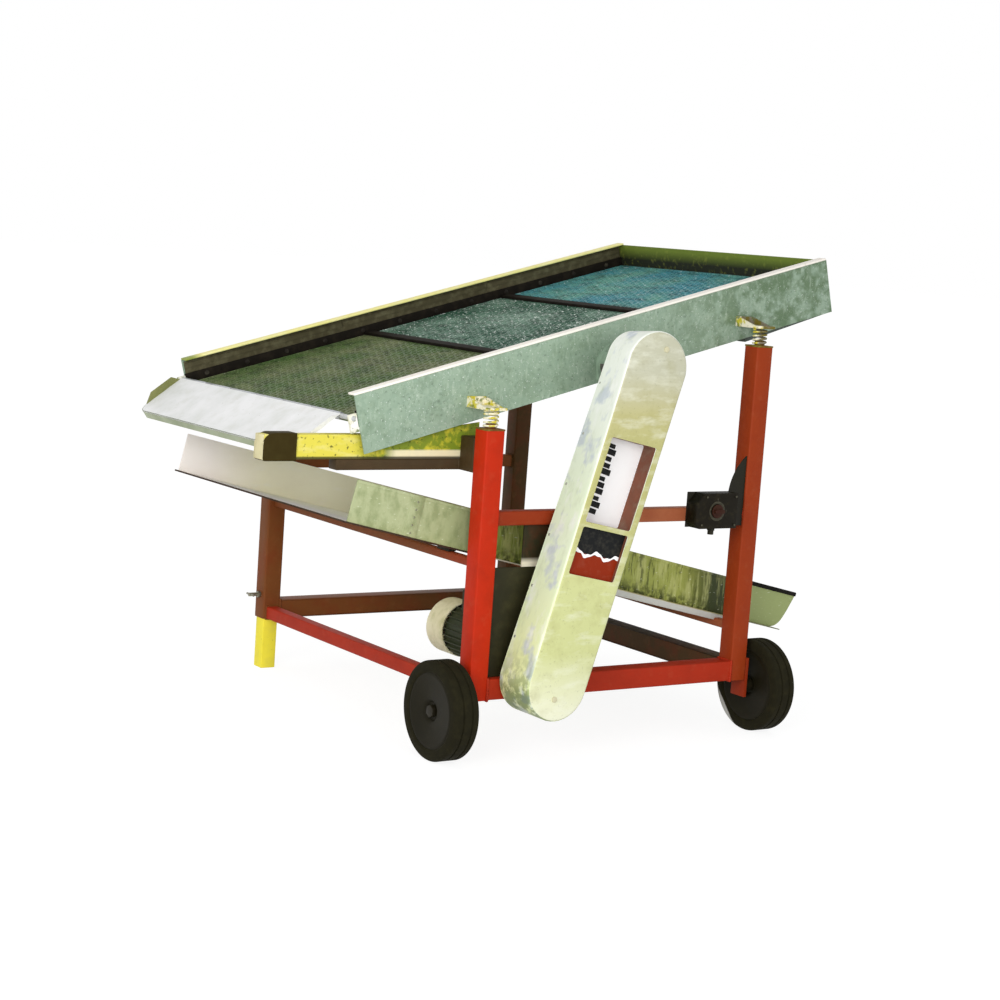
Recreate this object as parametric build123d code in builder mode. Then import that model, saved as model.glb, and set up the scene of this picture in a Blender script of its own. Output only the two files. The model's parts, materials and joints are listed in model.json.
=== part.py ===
from build123d import *
from math import atan2, cos, degrees, radians, sin, tan
import os

# A wheeled, motor-driven wash screen. All sizes are in millimetres.
# +X runs from the discharge end to the feed end, +Y from the drive side to the far side, +Z up.
# The origin is on the ground, under the middle of the whole machine.

# ---- driving dimensions: deck ----
deck_length = 1700
deck_width = 1056
deck_pitch = 15
low_end_height = 1003
plate_height = 168
plate_thickness = 4
rim_width = 34
rim_thickness = 6
screen_depth = 77
screen_thickness = 8
screen_joints = (655, 1190)
screen_gap = 2
hold_down_height = 28
hold_down_width = 12
screen_bar_width = 30
screen_bar_height = 10
ledge_width = 30
ledge_thickness = 8
cross_tube_size = 40
cross_tube_wall = 3
cross_tube_margin = 130

# ---- driving dimensions: frame ----
post_size = 60
post_wall = 4
post_gap = 48
low_post_place = 391
post_spacing = 942
ground_clearance = 164
mid_rail_size = 40
mid_rail_wall = 3
chute_rail_size = 25
mid_rail_height = 673
bounce = 6

# ---- driving dimensions: springs and their brackets ----
spring_height = 50
spring_radius = 19
spring_wire = 6
spring_turns = 4
seat_thickness = 5
seat_pin_radius = 14
shelf_rise = 38
shelf_thickness = 8
shelf_length = 64
bracket_leg = 30
bracket_thickness = 6

# ---- driving dimensions: drive ----
shaft_place = 822
shaft_depth = 115
shaft_radius = 15
motor_over_rail = 63.02722
drive_lean = 17
shaft_pulley_radius = 65
motor_pulley_radius = 45
pulley_width = 38
groove_depth = 12
groove_width = 13
belt_width = 11.4
belt_thickness = 10
belt_gap = 0.5
motor_shaft_radius = 14
motor_radius = 80
motor_neck_radius = 60
motor_neck_length = 30
motor_length = 294
fin_height = 9
fin_count = 26
cowl_radius = 82
cowl_length = 95
cowl_wall = 4
motor_plate_thickness = 8
motor_plate_width = 280
terminal_box_size = (100, 100, 50)
terminal_inset = 150
bearing_flange = (118, 66, 12)
bearing_boss_radius = 32
bearing_depth = 46
bearing_bolt_spacing = 90
weight_radius = 56
weight_thickness = 36
weight_hub_radius = 26
running_gap = 0.05

# ---- driving dimensions: belt guard ----
guard_gap = 6
guard_sheet = 3
guard_depth = 134
guard_top_radius = 85
guard_bottom_radius = 100
guard_top_over = 15
guard_bottom_over = 62
window_width = 160
window_offset = -6
window_top = 216
window_bottom = -178
window_rise = 15
bridge_level = -35
bridge_width = 14
shield_set_back = 55
hanger_length = 160
hanger_height = 120
hanger_thickness = 6
hanger_gap = 5
spacer_size = 24
spacer_offset = 40

# ---- driving dimensions: chute ----
chute_high_height = 343.67493
arm_clearance = 17.5
chute_start = -5
chute_length = 1640
near_wall_set_back = 24
chute_wall = 120
chute_sheet = 3
chute_inset = 30
chute_lip = 70
chute_flange = 22
chute_edge_length = 260
packer_height = 6
packer_width = 60

# ---- driving dimensions: discharge apron ----
rod_radius = 7
rod_out = 12
rod_depth = 66
apron_fall = 36
apron_length = 176
apron_sheet = 3
apron_turn_up = 24
apron_turn_down = 28
sleeve_wall = 3
lug_thickness = 8
lug_reach = 26
lug_radius = 12
lug_tail = 45
lug_tail_height = 12
side_gap = 2

# ---- driving dimensions: handle bar at the discharge end ----
handle_reach = 255
handle_width = 42
handle_height = 66
handle_top_drop = 112
handle_inset = 20
handle_wall = 4
grip_length = 100
grip_wall = 4
gusset_reach = 115
gusset_thickness = 4
arm_height = 30
arm_reach = -30

# ---- driving dimensions: switch ----
switch_size = (156, 45, 104)
switch_drop = 36
switch_end_gap = 60
switch_sheet = 4
switch_wall = 3
cover_thickness = 5
gusset_rise = 105
knob_radius = 20
gland_radius = 12
gland_collar = 8
gland_nut = 12
knob_base = 5
knob_grip = (36, 12, 11)
knob_spindle_radius = 6.5

# ---- driving dimensions: wheels and feet ----
wheel_radius = 140
wheel_stand_off = 70
tyre_width = 80
tyre_depth = 34
tyre_round = 12
disc_thickness = 10
hub_radius = 26
hub_length = 50
axle_radius = 12.5
axle_plate_thickness = 10
axle_plate_height = 120
axle_nut_radius = 18
axle_nut_length = 12
foot_size = 50
foot_wall = 4
foot_engagement_length = 180
foot_pad_height = 8
clamp_radius = 6
clamp_length = 45
clamp_height = 240
bolt_radius = 5
bolt_head = 4
bolt_head_radius = 9

# ---- worked out from the driving dimensions ----
pitch_cos = cos(radians(deck_pitch))
pitch_sin = sin(radians(deck_pitch))
feed_reach = deck_length * pitch_cos + plate_height * pitch_sin
drive_side_reach = post_gap + post_size + guard_gap + guard_sheet + guard_depth + guard_sheet + bolt_head
far_side_reach = deck_width + post_gap + post_size
low_x = (handle_reach - feed_reach) / 2
near_y = (drive_side_reach - far_side_reach) / 2
far_y = near_y + deck_width
near_post_y = near_y - post_gap - post_size / 2
far_post_y = far_y + post_gap + post_size / 2
low_post_x = low_x + low_post_place
high_post_x = low_post_x + post_spacing
half_post = post_size / 2
rail_top = ground_clearance + post_size
inner_near = near_y + plate_thickness
inner_far = far_y - plate_thickness
lean_sin = sin(radians(drive_lean))
lean_cos = cos(radians(drive_lean))

# the chute clears the handle's arm at its low end and comes down to its own height at the feed posts
handle_top = low_end_height - handle_top_drop
handle_low = handle_top - handle_height
arm_z = (handle_low - arm_height, handle_low)
chute_low_height = arm_z[0] - arm_clearance - chute_wall
chute_run = high_post_x - low_x - chute_start
chute_pitch = degrees(atan2(chute_low_height - chute_high_height, chute_run))


def deck_point(along, depth):
    """X and Z of a point that lies along the deck and at a depth under the plates' top edge."""
    x = low_x + along * pitch_cos + depth * pitch_sin
    return x, low_end_height + along * pitch_sin - depth * pitch_cos


def deck_side(y):
    """Upright plane in line with the deck: its x runs up the slope and its y square to the deck."""
    return Plane(origin=(low_x, y, low_end_height), x_dir=(pitch_cos, 0, pitch_sin), z_dir=(0, -1, 0))


def side_view(y):
    """Upright plane seen from the drive side: its x and y are the machine's X and Z."""
    return Plane(origin=(0, y, 0), x_dir=(1, 0, 0), z_dir=(0, -1, 0))


def end_view(x):
    """Upright plane across the machine: its x and y are the machine's Y and Z."""
    return Plane(origin=(x, 0, 0), x_dir=(0, 1, 0), z_dir=(1, 0, 0))


def save(part, name):
    part.label = name
    export_step(part, f"parts/{name}.step")


def block(x_range, y_range, z_range):
    """A plain box between two corners."""
    with BuildPart() as box:
        with BuildSketch(Plane.XY.offset(z_range[0])):
            with Locations((sum(x_range) / 2, sum(y_range) / 2)):
                Rectangle(x_range[1] - x_range[0], y_range[1] - y_range[0])
        extrude(amount=z_range[1] - z_range[0])
    return box.part


def deck_block(along, across, depth):
    """A box square to the deck: spans along it, across the machine and in depth under its top edge."""
    with BuildPart() as box:
        with BuildSketch(deck_side(across[0])):
            with Locations((sum(along) / 2, -sum(depth) / 2)):
                Rectangle(along[1] - along[0], depth[1] - depth[0])
        extrude(amount=across[0] - across[1])
    return box.part


def square_tube(plane, size, wall, length):
    """A hollow square tube that starts at the plane's origin."""
    with BuildPart() as tube:
        with BuildSketch(plane):
            Rectangle(size, size)
            Rectangle(size - 2 * wall, size - 2 * wall, mode=Mode.SUBTRACT)
        extrude(amount=length)
    return tube.part


def tube_along_x(x_range, y, z, size, wall):
    plane = Plane(origin=(x_range[0], y, z), x_dir=(0, 1, 0), z_dir=(1, 0, 0))
    return square_tube(plane, size, wall, x_range[1] - x_range[0])


def tube_along_y(x, y_range, z, size, wall):
    plane = Plane(origin=(x, y_range[0], z), x_dir=(1, 0, 0), z_dir=(0, 1, 0))
    return square_tube(plane, size, wall, y_range[1] - y_range[0])


def bolt(plane, shank, head_radius=bolt_head_radius, radius=bolt_radius):
    """A hexagon bolt: the plane is under its head and points away from the joint."""
    with BuildPart() as fixing:
        with BuildSketch(plane):
            RegularPolygon(radius=head_radius, side_count=6)
        extrude(amount=bolt_head)
        with BuildSketch(plane):
            Circle(radius)
        extrude(amount=-shank)
    return fixing.part


os.makedirs("parts", exist_ok=True)

# ---- frame: posts ----
# Each post ends under a spring seat, a spring's height below the deck bracket's shelf.


def plate_bottom(x):
    """Height of the side plate's bottom edge at X."""
    return low_end_height + (x - low_x) * tan(radians(deck_pitch)) - plate_height / pitch_cos


def shelf_height(x):
    return plate_bottom(x) + shelf_rise


def post_top(x):
    return shelf_height(x) - spring_height - seat_thickness


def make_post(x, y, clamp_side=0):
    """A post; a far post has a hole for its foot's clamp screw, on the side away from the machine."""
    start = Plane(origin=(x, y, ground_clearance))
    tube = square_tube(start, post_size, post_wall, post_top(x) - ground_clearance)
    if clamp_side == 0:
        return tube
    with BuildPart() as post:
        add(tube)
        with BuildSketch(end_view(x)):
            with Locations((y, clamp_height)):
                Circle(clamp_radius + running_gap)
        extrude(amount=clamp_side * post_size, mode=Mode.SUBTRACT)
    return post.part


save(make_post(low_post_x, near_post_y), "post_near_low")
save(make_post(high_post_x, near_post_y), "post_near_high")
far_posts = Compound(
    children=[make_post(low_post_x, far_post_y, -1), make_post(high_post_x, far_post_y, 1)]
)
save(far_posts, "far_posts")

# ---- frame: rails ----
between_posts = (low_post_x + half_post, high_post_x - half_post)
across_posts = (near_post_y + half_post, far_post_y - half_post)
bottom_rail_z = ground_clearance + half_post
low_rail_z = ground_clearance + mid_rail_size / 2
bottom_rails = Compound(
    children=[
        tube_along_x(between_posts, near_post_y, bottom_rail_z, post_size, post_wall),
        tube_along_x(between_posts, far_post_y, bottom_rail_z, post_size, post_wall),
        tube_along_y(low_post_x, across_posts, low_rail_z, mid_rail_size, mid_rail_wall),
        tube_along_y(high_post_x, across_posts, bottom_rail_z, post_size, post_wall),
    ]
)
save(bottom_rails, "bottom_rails")

chute_cos = cos(radians(chute_pitch))
chute_sin = sin(radians(chute_pitch))
half_rail = mid_rail_size / 2
half_chute_rail = chute_rail_size / 2


def chute_underside(x):
    """Height of the chute floor's underside at X."""
    return chute_low_height - (x - low_x - chute_start) * tan(radians(chute_pitch))


def chute_rail_top(x):
    return chute_underside(x + half_chute_rail) - packer_height


mid_rails = Compound(
    children=[
        tube_along_x(between_posts, near_post_y, mid_rail_height, mid_rail_size, mid_rail_wall),
        tube_along_x(between_posts, far_post_y, mid_rail_height, mid_rail_size, mid_rail_wall),
    ]
    + [
        tube_along_y(x, across_posts, chute_rail_top(x) - half_chute_rail, chute_rail_size, mid_rail_wall)
        for x in (low_post_x, high_post_x)
    ]
)
save(mid_rails, "mid_rails")

# ---- spring seats: a plate with a locating pin on each post ----
spring_seats = []
for x in (low_post_x, high_post_x):
    for y in (near_post_y, far_post_y):
        with BuildPart() as seat:
            with BuildSketch(Plane(origin=(x, y, post_top(x)))):
                Rectangle(post_size, post_size)
            extrude(amount=seat_thickness)
            with BuildSketch(Plane(origin=(x, y, post_top(x) + seat_thickness))):
                Circle(seat_pin_radius)
            extrude(amount=spring_height / 4)
        spring_seats.append(seat.part)
save(Compound(children=spring_seats), "spring_seats")

# ---- coil springs ----
spring_rest_gap = 0.3


def coil(x, y):
    """One coil spring that stands on its seat and reaches the bracket's shelf."""
    start = post_top(x) + seat_thickness + spring_wire / 2 + spring_rest_gap
    travel = spring_height - spring_wire - 2 * spring_rest_gap
    with BuildPart() as spring:
        with BuildLine(Plane(origin=(x, y, start))) as wire_path:
            Helix(pitch=travel / spring_turns, height=travel, radius=spring_radius)
        with BuildSketch(Plane(origin=wire_path.line @ 0, z_dir=wire_path.line % 0)):
            Circle(spring_wire / 2)
        sweep(path=wire_path.line)
    return spring.part


for name, x in (("springs_low", low_post_x), ("springs_high", high_post_x)):
    save(Compound(children=[coil(x, near_post_y), coil(x, far_post_y)]), name)

# ---- deck: side plates, rims and end plate ----
shaft_hole_radius = shaft_radius + 10
bolt_tilt = deck_pitch + drive_lean
bolt_offset = (
    bearing_bolt_spacing / 2 * sin(radians(bolt_tilt)),
    bearing_bolt_spacing / 2 * cos(radians(bolt_tilt)),
)
# the bearings' bolts lie in line with the drive, one above and one below the shaft
bearing_bolts = [
    (shaft_place + side * bolt_offset[0], -shaft_depth + side * bolt_offset[1]) for side in (-1, 1)
]


def make_side_plate(y):
    with BuildPart() as plate:
        with BuildSketch(deck_side(y)):
            with Locations((deck_length / 2, -(plate_height + rim_thickness) / 2)):
                Rectangle(deck_length, plate_height - rim_thickness)
            with Locations((shaft_place, -shaft_depth)):
                Circle(shaft_hole_radius, mode=Mode.SUBTRACT)
            with Locations(*bearing_bolts):
                Circle(bolt_radius + running_gap, mode=Mode.SUBTRACT)
        extrude(amount=-plate_thickness)
    return plate.part


save(make_side_plate(near_y), "side_plate_near")
save(make_side_plate(inner_far), "side_plate_far")

full_length = (0, deck_length)
rim_strips = Compound(
    children=[
        deck_block(full_length, (near_y, near_y + rim_width), (0, rim_thickness)),
        deck_block(full_length, (far_y - rim_width, far_y), (0, rim_thickness)),
    ]
)
save(rim_strips, "rim_strips")

end_plate_depth = screen_depth + screen_thickness + ledge_thickness + cross_tube_size
end_plate = deck_block(
    (deck_length - plate_thickness, deck_length), (inner_near, inner_far), (rim_thickness, end_plate_depth)
)
save(end_plate, "end_plate")

# ---- deck: screens, what carries them and what holds them down ----
screen_inner = (inner_near + 1, inner_far - 1)
screen_ends = (0, *screen_joints, deck_length - plate_thickness)
screen_bottom = screen_depth + screen_thickness
for name, start, end in zip(("low", "mid", "high"), screen_ends, screen_ends[1:]):
    span = (start + screen_gap / 2, end - screen_gap / 2)
    save(deck_block(span, screen_inner, (screen_depth, screen_bottom)), f"screen_{name}")

ledge_bottom = screen_bottom + ledge_thickness
ledge_span = (0, deck_length - plate_thickness)
support_pieces = [
    deck_block(ledge_span, (inner_near, inner_near + ledge_width), (screen_bottom, ledge_bottom)),
    deck_block(ledge_span, (inner_far - ledge_width, inner_far), (screen_bottom, ledge_bottom)),
]
cross_places = (cross_tube_margin, *screen_joints, deck_length - cross_tube_margin)
for place in cross_places:
    x, z = deck_point(place, ledge_bottom + cross_tube_size / 2)
    start = Plane(origin=(x, inner_near, z), x_dir=(pitch_cos, 0, pitch_sin), z_dir=(0, 1, 0))
    length = inner_far - inner_near
    support_pieces.append(square_tube(start, cross_tube_size, cross_tube_wall, length))
for joint in screen_joints:
    # a packer carries the ends of two screens where they meet over a cross tube
    span = (joint - cross_tube_size / 2, joint + cross_tube_size / 2)
    inner = (inner_near + ledge_width, inner_far - ledge_width)
    support_pieces.append(deck_block(span, inner, (screen_bottom, ledge_bottom)))
save(Compound(children=support_pieces), "support_frame")

strip_depth = (screen_depth - hold_down_height, screen_depth)
bar_depth = (screen_depth - screen_bar_height, screen_depth)
hold_downs = [
    deck_block(ledge_span, (inner_near, inner_near + hold_down_width), strip_depth),
    deck_block(ledge_span, (inner_far - hold_down_width, inner_far), strip_depth),
]
for joint in screen_joints:
    span = (joint - screen_bar_width / 2, joint + screen_bar_width / 2)
    inner = (inner_near + hold_down_width, inner_far - hold_down_width)
    hold_downs.append(deck_block(span, inner, bar_depth))
save(Compound(children=hold_downs), "hold_down_bars")

# ---- deck: brackets over the springs ----
deck_fixings = []


def make_bracket(x, y, outward):
    """A shelf over the spring, welded to a leg on the side plate's outer face, with two gussets."""
    shelf = shelf_height(x)
    reach = post_gap + post_size
    with BuildPart() as bracket:
        add(block((x - shelf_length / 2, x + shelf_length / 2), sorted((y, y + outward * reach)),
                  (shelf, shelf + shelf_thickness)))
        add(block((x - shelf_length / 2, x + shelf_length / 2), sorted((y, y + outward * bracket_thickness)),
                  (shelf, shelf + bracket_leg)))
        for side in (-1, 1):
            gusset_x = x + side * (shelf_length - bracket_thickness) / 2
            with BuildSketch(end_view(gusset_x)):
                with BuildLine():
                    Polyline(
                        (y, shelf + shelf_thickness),
                        (y + outward * reach * 0.8, shelf + shelf_thickness),
                        (y + outward * bracket_thickness, shelf + bracket_leg),
                        (y, shelf + bracket_leg),
                        close=True,
                    )
                make_face()
            extrude(amount=bracket_thickness / 2, both=True)
    return bracket.part


spring_brackets = []
for x in (low_post_x, high_post_x):
    spring_brackets.append(make_bracket(x, near_y, -1))
    spring_brackets.append(make_bracket(x, far_y, 1))
save(Compound(children=spring_brackets), "spring_brackets")

# ---- deck: eccentric shaft, its bearings and weights ----
shaft_x, shaft_z = deck_point(shaft_place, shaft_depth)
guard_back_y = near_y - post_gap - post_size - guard_gap
pulley_inner_y = guard_back_y - guard_sheet - 5
pulley_outer_y = pulley_inner_y - pulley_width
shaft_far_end = far_y + post_gap + post_size - 8
half_deck_y = (near_y + far_y) / 2


def bearing_housing(y, outward):
    """An oval flange with a round boss, bolted to the outer face of a side plate."""
    plane = Plane(origin=(shaft_x, y, shaft_z), x_dir=(lean_sin, 0, lean_cos), z_dir=(0, outward, 0))
    with BuildPart() as housing:
        with BuildSketch(plane):
            Circle(bearing_flange[1] / 2)
            for side in (-1, 1):
                with Locations((side * bearing_bolt_spacing / 2, 0)):
                    Circle((bearing_flange[0] - bearing_bolt_spacing) / 2)
            make_hull()
        extrude(amount=bearing_flange[2])
        with BuildSketch(plane):
            Circle(bearing_boss_radius)
        extrude(amount=bearing_depth)
        fillet(housing.edges().filter_by(GeomType.CIRCLE).group_by(Axis.Y)[0 if outward < 0 else -1], 4)
        with BuildSketch(plane):
            Circle(shaft_radius + running_gap)
            with Locations(*[(side * bearing_bolt_spacing / 2, 0) for side in (-1, 1)]):
                Circle(bolt_radius + running_gap)
        extrude(amount=bearing_depth, mode=Mode.SUBTRACT)
    return housing.part


bearings = [bearing_housing(near_y, -1), bearing_housing(far_y, 1)]
save(Compound(children=bearings), "bearing_housings")

for y, outward in ((near_y, -1), (far_y, 1)):
    for place, height in bearing_bolts:
        x, z = deck_point(place, -height)
        head = Plane(origin=(x, y + outward * bearing_flange[2], z), z_dir=(0, outward, 0))
        shank = bearing_flange[2] + plate_thickness
        deck_fixings.append(bolt(head, shank))
save(Compound(children=deck_fixings), "deck_bolts")

with BuildPart() as eccentric_shaft:
    with BuildSketch(Plane(origin=(shaft_x, pulley_outer_y - 6, shaft_z), z_dir=(0, 1, 0))):
        Circle(shaft_radius)
    extrude(amount=shaft_far_end - pulley_outer_y + 6)
    chamfer(eccentric_shaft.edges().filter_by(GeomType.CIRCLE), 2)
save(eccentric_shaft.part, "eccentric_shaft")


def unbalance_weight(y):
    """A half disc with a clamp hub round the shaft; its heavy half hangs down at rest."""
    with BuildPart() as weight:
        with BuildSketch(Plane(origin=(shaft_x, y, shaft_z), x_dir=(1, 0, 0), z_dir=(0, -1, 0))):
            Circle(weight_radius)
            with Locations((0, weight_radius)):
                Rectangle(2 * weight_radius, 2 * weight_radius, mode=Mode.SUBTRACT)
            Circle(weight_hub_radius)
            Circle(shaft_radius, mode=Mode.SUBTRACT)
        extrude(amount=weight_thickness)
    return weight.part


weight_gap = 6
weights = [
    unbalance_weight(near_y - bearing_depth - weight_gap),
    unbalance_weight(far_y + bearing_depth + weight_gap + weight_thickness),
]
save(Compound(children=weights), "unbalance_weights")


def grooved_pulley(x, z, outer, bore):
    """A pulley with one groove for the belt, turned about the Y axis."""
    middle = (pulley_inner_y + pulley_outer_y) / 2
    half = pulley_width / 2
    root = outer - groove_depth
    with BuildPart() as pulley:
        with BuildSketch(Plane(origin=(x, middle, z), x_dir=(1, 0, 0), z_dir=(0, 0, 1))):
            with BuildLine():
                Polyline(
                    (bore, -half),
                    (outer, -half),
                    (outer, -groove_width / 2 - 3),
                    (root, -groove_width / 2),
                    (root, groove_width / 2),
                    (outer, groove_width / 2 + 3),
                    (outer, half),
                    (bore, half),
                    close=True,
                )
            make_face()
        revolve(axis=Axis(origin=(x, middle, z), direction=(0, 1, 0)))
    return pulley.part


motor_z = rail_top + motor_over_rail
centre_distance = (shaft_z - motor_z) / lean_cos
motor_x = shaft_x - centre_distance * lean_sin
save(grooved_pulley(shaft_x, shaft_z, shaft_pulley_radius, shaft_radius), "shaft_pulley")
save(grooved_pulley(motor_x, motor_z, motor_pulley_radius, motor_shaft_radius), "motor_pulley")

# ---- drive belt: one loop lying in both grooves ----
belt_y = (pulley_inner_y + pulley_outer_y + belt_width) / 2


def draw_belt(extra):
    """Draws the loop round both pulleys, at a height above the groove bottoms, in the open sketch."""
    for x, z, outer in (
        (shaft_x, shaft_z, shaft_pulley_radius),
        (motor_x, motor_z, motor_pulley_radius),
    ):
        with Locations((x, z)):
            Circle(outer - groove_depth + extra)
    make_hull()


with BuildPart() as drive_belt:
    with BuildSketch(side_view(belt_y)):
        draw_belt(belt_gap + belt_thickness)
    extrude(amount=belt_width)
    with BuildSketch(side_view(belt_y)):
        draw_belt(belt_gap)
    extrude(amount=belt_width, mode=Mode.SUBTRACT)
save(drive_belt.part, "drive_belt")

# ---- motor and its plate ----
plate_start = low_post_x + half_post
plate_end = plate_start + motor_plate_width
plate_outer_y = near_post_y - motor_plate_thickness / 2
plate_inner_y = near_post_y + motor_plate_thickness / 2
plate_head_z = mid_rail_height - mid_rail_size / 2 - hanger_height
plate_shoulder = 70

with BuildPart() as motor_plate:
    with BuildSketch(side_view(plate_inner_y)):
        with BuildLine():
            Polyline(
                (plate_start, rail_top),
                (plate_end, rail_top),
                (plate_end, plate_head_z - plate_shoulder),
                (plate_end - plate_shoulder, plate_head_z),
                (plate_start, plate_head_z),
                close=True,
            )
        make_face()
        with Locations((motor_x, motor_z)):
            Circle(motor_shaft_radius + 8, mode=Mode.SUBTRACT)
    extrude(amount=motor_plate_thickness)
save(motor_plate.part, "motor_plate")

motor_front_y = plate_inner_y
body_start_y = motor_front_y + motor_neck_length
body_end_y = body_start_y + motor_length

with BuildPart() as motor_body:
    with BuildSketch(Plane(origin=(motor_x, motor_front_y, motor_z), z_dir=(0, 1, 0))):
        Circle(motor_neck_radius)
    extrude(amount=motor_neck_length)
    with BuildSketch(Plane(origin=(motor_x, body_start_y, motor_z), z_dir=(0, 1, 0))):
        Circle(motor_radius - fin_height)
        with PolarLocations(motor_radius - fin_height, fin_count):
            Rectangle(2 * fin_height, 3)
    extrude(amount=motor_length)
    with BuildSketch(Plane(origin=(motor_x, motor_front_y, motor_z), z_dir=(0, 1, 0))):
        Circle(motor_shaft_radius + running_gap)
    extrude(amount=motor_neck_length + motor_length, mode=Mode.SUBTRACT)
save(motor_body.part, "motor_body")

with BuildPart() as motor_cowl:
    with BuildSketch(Plane(origin=(motor_x, body_end_y, motor_z), z_dir=(0, 1, 0))):
        Circle(cowl_radius)
    extrude(amount=cowl_length)
    fillet(motor_cowl.edges().group_by(Axis.Y)[-1], 14)
    with BuildSketch(Plane(origin=(motor_x, body_end_y, motor_z), z_dir=(0, 1, 0))):
        Circle(cowl_radius - cowl_wall)
    extrude(amount=cowl_length - 14, mode=Mode.SUBTRACT)
    with BuildSketch(Plane(origin=(motor_x, body_end_y + cowl_length, motor_z), z_dir=(0, 1, 0))):
        with PolarLocations(cowl_radius / 2, 12):
            SlotOverall(cowl_radius / 2, 6)
    extrude(amount=-cowl_length / 2, mode=Mode.SUBTRACT)
save(motor_cowl.part, "motor_cowl")

fan_gap = 12
with BuildPart() as motor_shaft:
    with BuildSketch(Plane(origin=(motor_x, pulley_outer_y - 4, motor_z), z_dir=(0, 1, 0))):
        Circle(motor_shaft_radius)
    extrude(amount=body_end_y + cowl_length / 2 - pulley_outer_y + 4)
    with BuildSketch(Plane(origin=(motor_x, body_end_y + fan_gap, motor_z), z_dir=(0, 1, 0))):
        Circle(motor_shaft_radius * 2)
        with PolarLocations(motor_radius * 0.45, 8):
            Rectangle(motor_radius * 0.8, 4)
    extrude(amount=cowl_length / 3)
save(motor_shaft.part, "motor_shaft_and_fan")

box_bottom = motor_z + (motor_radius - fin_height)
terminal_y = body_start_y + terminal_inset
with BuildPart() as terminal_box:
    add(block(
        (motor_x - terminal_box_size[0] / 2, motor_x + terminal_box_size[0] / 2),
        (terminal_y, terminal_y + terminal_box_size[1]),
        (motor_z, motor_z + motor_radius + terminal_box_size[2]),
    ))
    fillet(terminal_box.edges().filter_by(Axis.Z), 8)
    with BuildSketch(Plane(origin=(motor_x, body_start_y, motor_z), z_dir=(0, 1, 0))):
        Circle(motor_radius + 0.3)
    extrude(amount=motor_length, mode=Mode.SUBTRACT)
    with BuildSketch(Plane(origin=(motor_x, terminal_y, motor_z))):
        with Locations((0, terminal_box_size[1] / 2)):
            Rectangle(terminal_box_size[0], terminal_box_size[1])
    extrude(amount=motor_radius * 0.6, mode=Mode.SUBTRACT)
save(terminal_box.part, "terminal_box")

# ---- belt guard ----
# Its outline is two rounded ends joined by straight sides, leaning with the line of the drive.


def guard_plane(y):
    """Upright plane with its origin on the drive shaft and its y up the line of the drive."""
    return Plane(origin=(shaft_x, y, shaft_z), x_dir=(lean_cos, 0, -lean_sin), z_dir=(0, -1, 0))


def draw_guard(inset=0.0):
    """Draws the guard's outline, or one inside it, in the open sketch."""
    with Locations((0, guard_top_over)):
        Circle(guard_top_radius - inset)
    with Locations((0, -centre_distance - guard_bottom_over)):
        Circle(guard_bottom_radius - inset)
    make_hull()


with BuildPart() as guard_back:
    with BuildSketch(guard_plane(guard_back_y)):
        draw_guard()
        Circle(shaft_radius + bounce + 4, mode=Mode.SUBTRACT)
        with Locations((0, -centre_distance)):
            Circle(motor_shaft_radius + 8, mode=Mode.SUBTRACT)
    extrude(amount=guard_sheet)
save(guard_back.part, "guard_back")

shell_y = guard_back_y - guard_sheet
with BuildPart() as guard_shell:
    with BuildSketch(guard_plane(shell_y)):
        draw_guard()
    extrude(amount=guard_depth)
    with BuildSketch(guard_plane(shell_y)):
        draw_guard(guard_sheet)
    extrude(amount=guard_depth, mode=Mode.SUBTRACT)
save(guard_shell.part, "guard_shell")

# window levels are measured up the line of the drive from half-way between the two shafts
half_way = -centre_distance / 2
window_centre = half_way + (window_top + window_bottom) / 2


def draw_window(bottom, top):
    """Draws a four-sided opening whose right-hand side stands higher by the window's rise."""
    left = window_offset - window_width / 2
    right = window_offset + window_width / 2
    with BuildLine() as outline:
        Polyline(
            (left, half_way + bottom - window_rise / 2),
            (right, half_way + bottom + window_rise / 2),
            (right, half_way + top + window_rise / 2),
            (left, half_way + top - window_rise / 2),
            close=True,
        )
    make_face(outline.edges())


front_y = shell_y - guard_depth
guard_bolt_levels = (guard_top_over + guard_top_radius * 0.55, -centre_distance - guard_bottom_over * 1.6)
with BuildPart() as guard_front:
    with BuildSketch(guard_plane(front_y)):
        draw_guard()
        with Locations(*[(0, level) for level in guard_bolt_levels]):
            Circle(bolt_radius + running_gap, mode=Mode.SUBTRACT)
    extrude(amount=guard_sheet)
    with BuildSketch(guard_plane(front_y)):
        draw_window(window_bottom, bridge_level - bridge_width / 2)
    extrude(amount=guard_sheet, mode=Mode.SUBTRACT)
    with BuildSketch(guard_plane(front_y)):
        draw_window(bridge_level + bridge_width / 2, window_top)
    extrude(amount=guard_sheet, mode=Mode.SUBTRACT)
save(guard_front.part, "guard_front")

shield_margin = 30
with BuildPart() as inner_shield:
    with BuildSketch(guard_plane(front_y + shield_set_back)):
        draw_guard(guard_sheet + 0.2)
        with Locations((0, window_centre)):
            Rectangle(
                3 * guard_bottom_radius, window_top - window_bottom + 2 * shield_margin, mode=Mode.INTERSECT
            )
    extrude(amount=guard_sheet / 2)
save(inner_shield.part, "inner_shield")

# fixings: bolts in the guard's front, spacers behind it and the hanger plate on the near mid rail
guard_fixings = []
for level in guard_bolt_levels:
    head = guard_plane(front_y - guard_sheet)
    head.origin = head.from_local_coords((0, level, 0))
    guard_fixings.append(bolt(head, guard_sheet))
rail_face = near_post_y - half_rail
rail_under = mid_rail_height - half_rail
hanger_y = (near_post_y - hanger_thickness / 2, near_post_y + hanger_thickness / 2)
guard_line_x = shaft_x - (shaft_z - mid_rail_height) * tan(radians(drive_lean))
hanger_x = (guard_line_x - hanger_gap - hanger_length, guard_line_x - hanger_gap)
hanger_z = (rail_under - hanger_height, rail_under)
guard_fixings.append(block(hanger_x, hanger_y, hanger_z))
bottom_face = near_post_y - half_post


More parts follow.
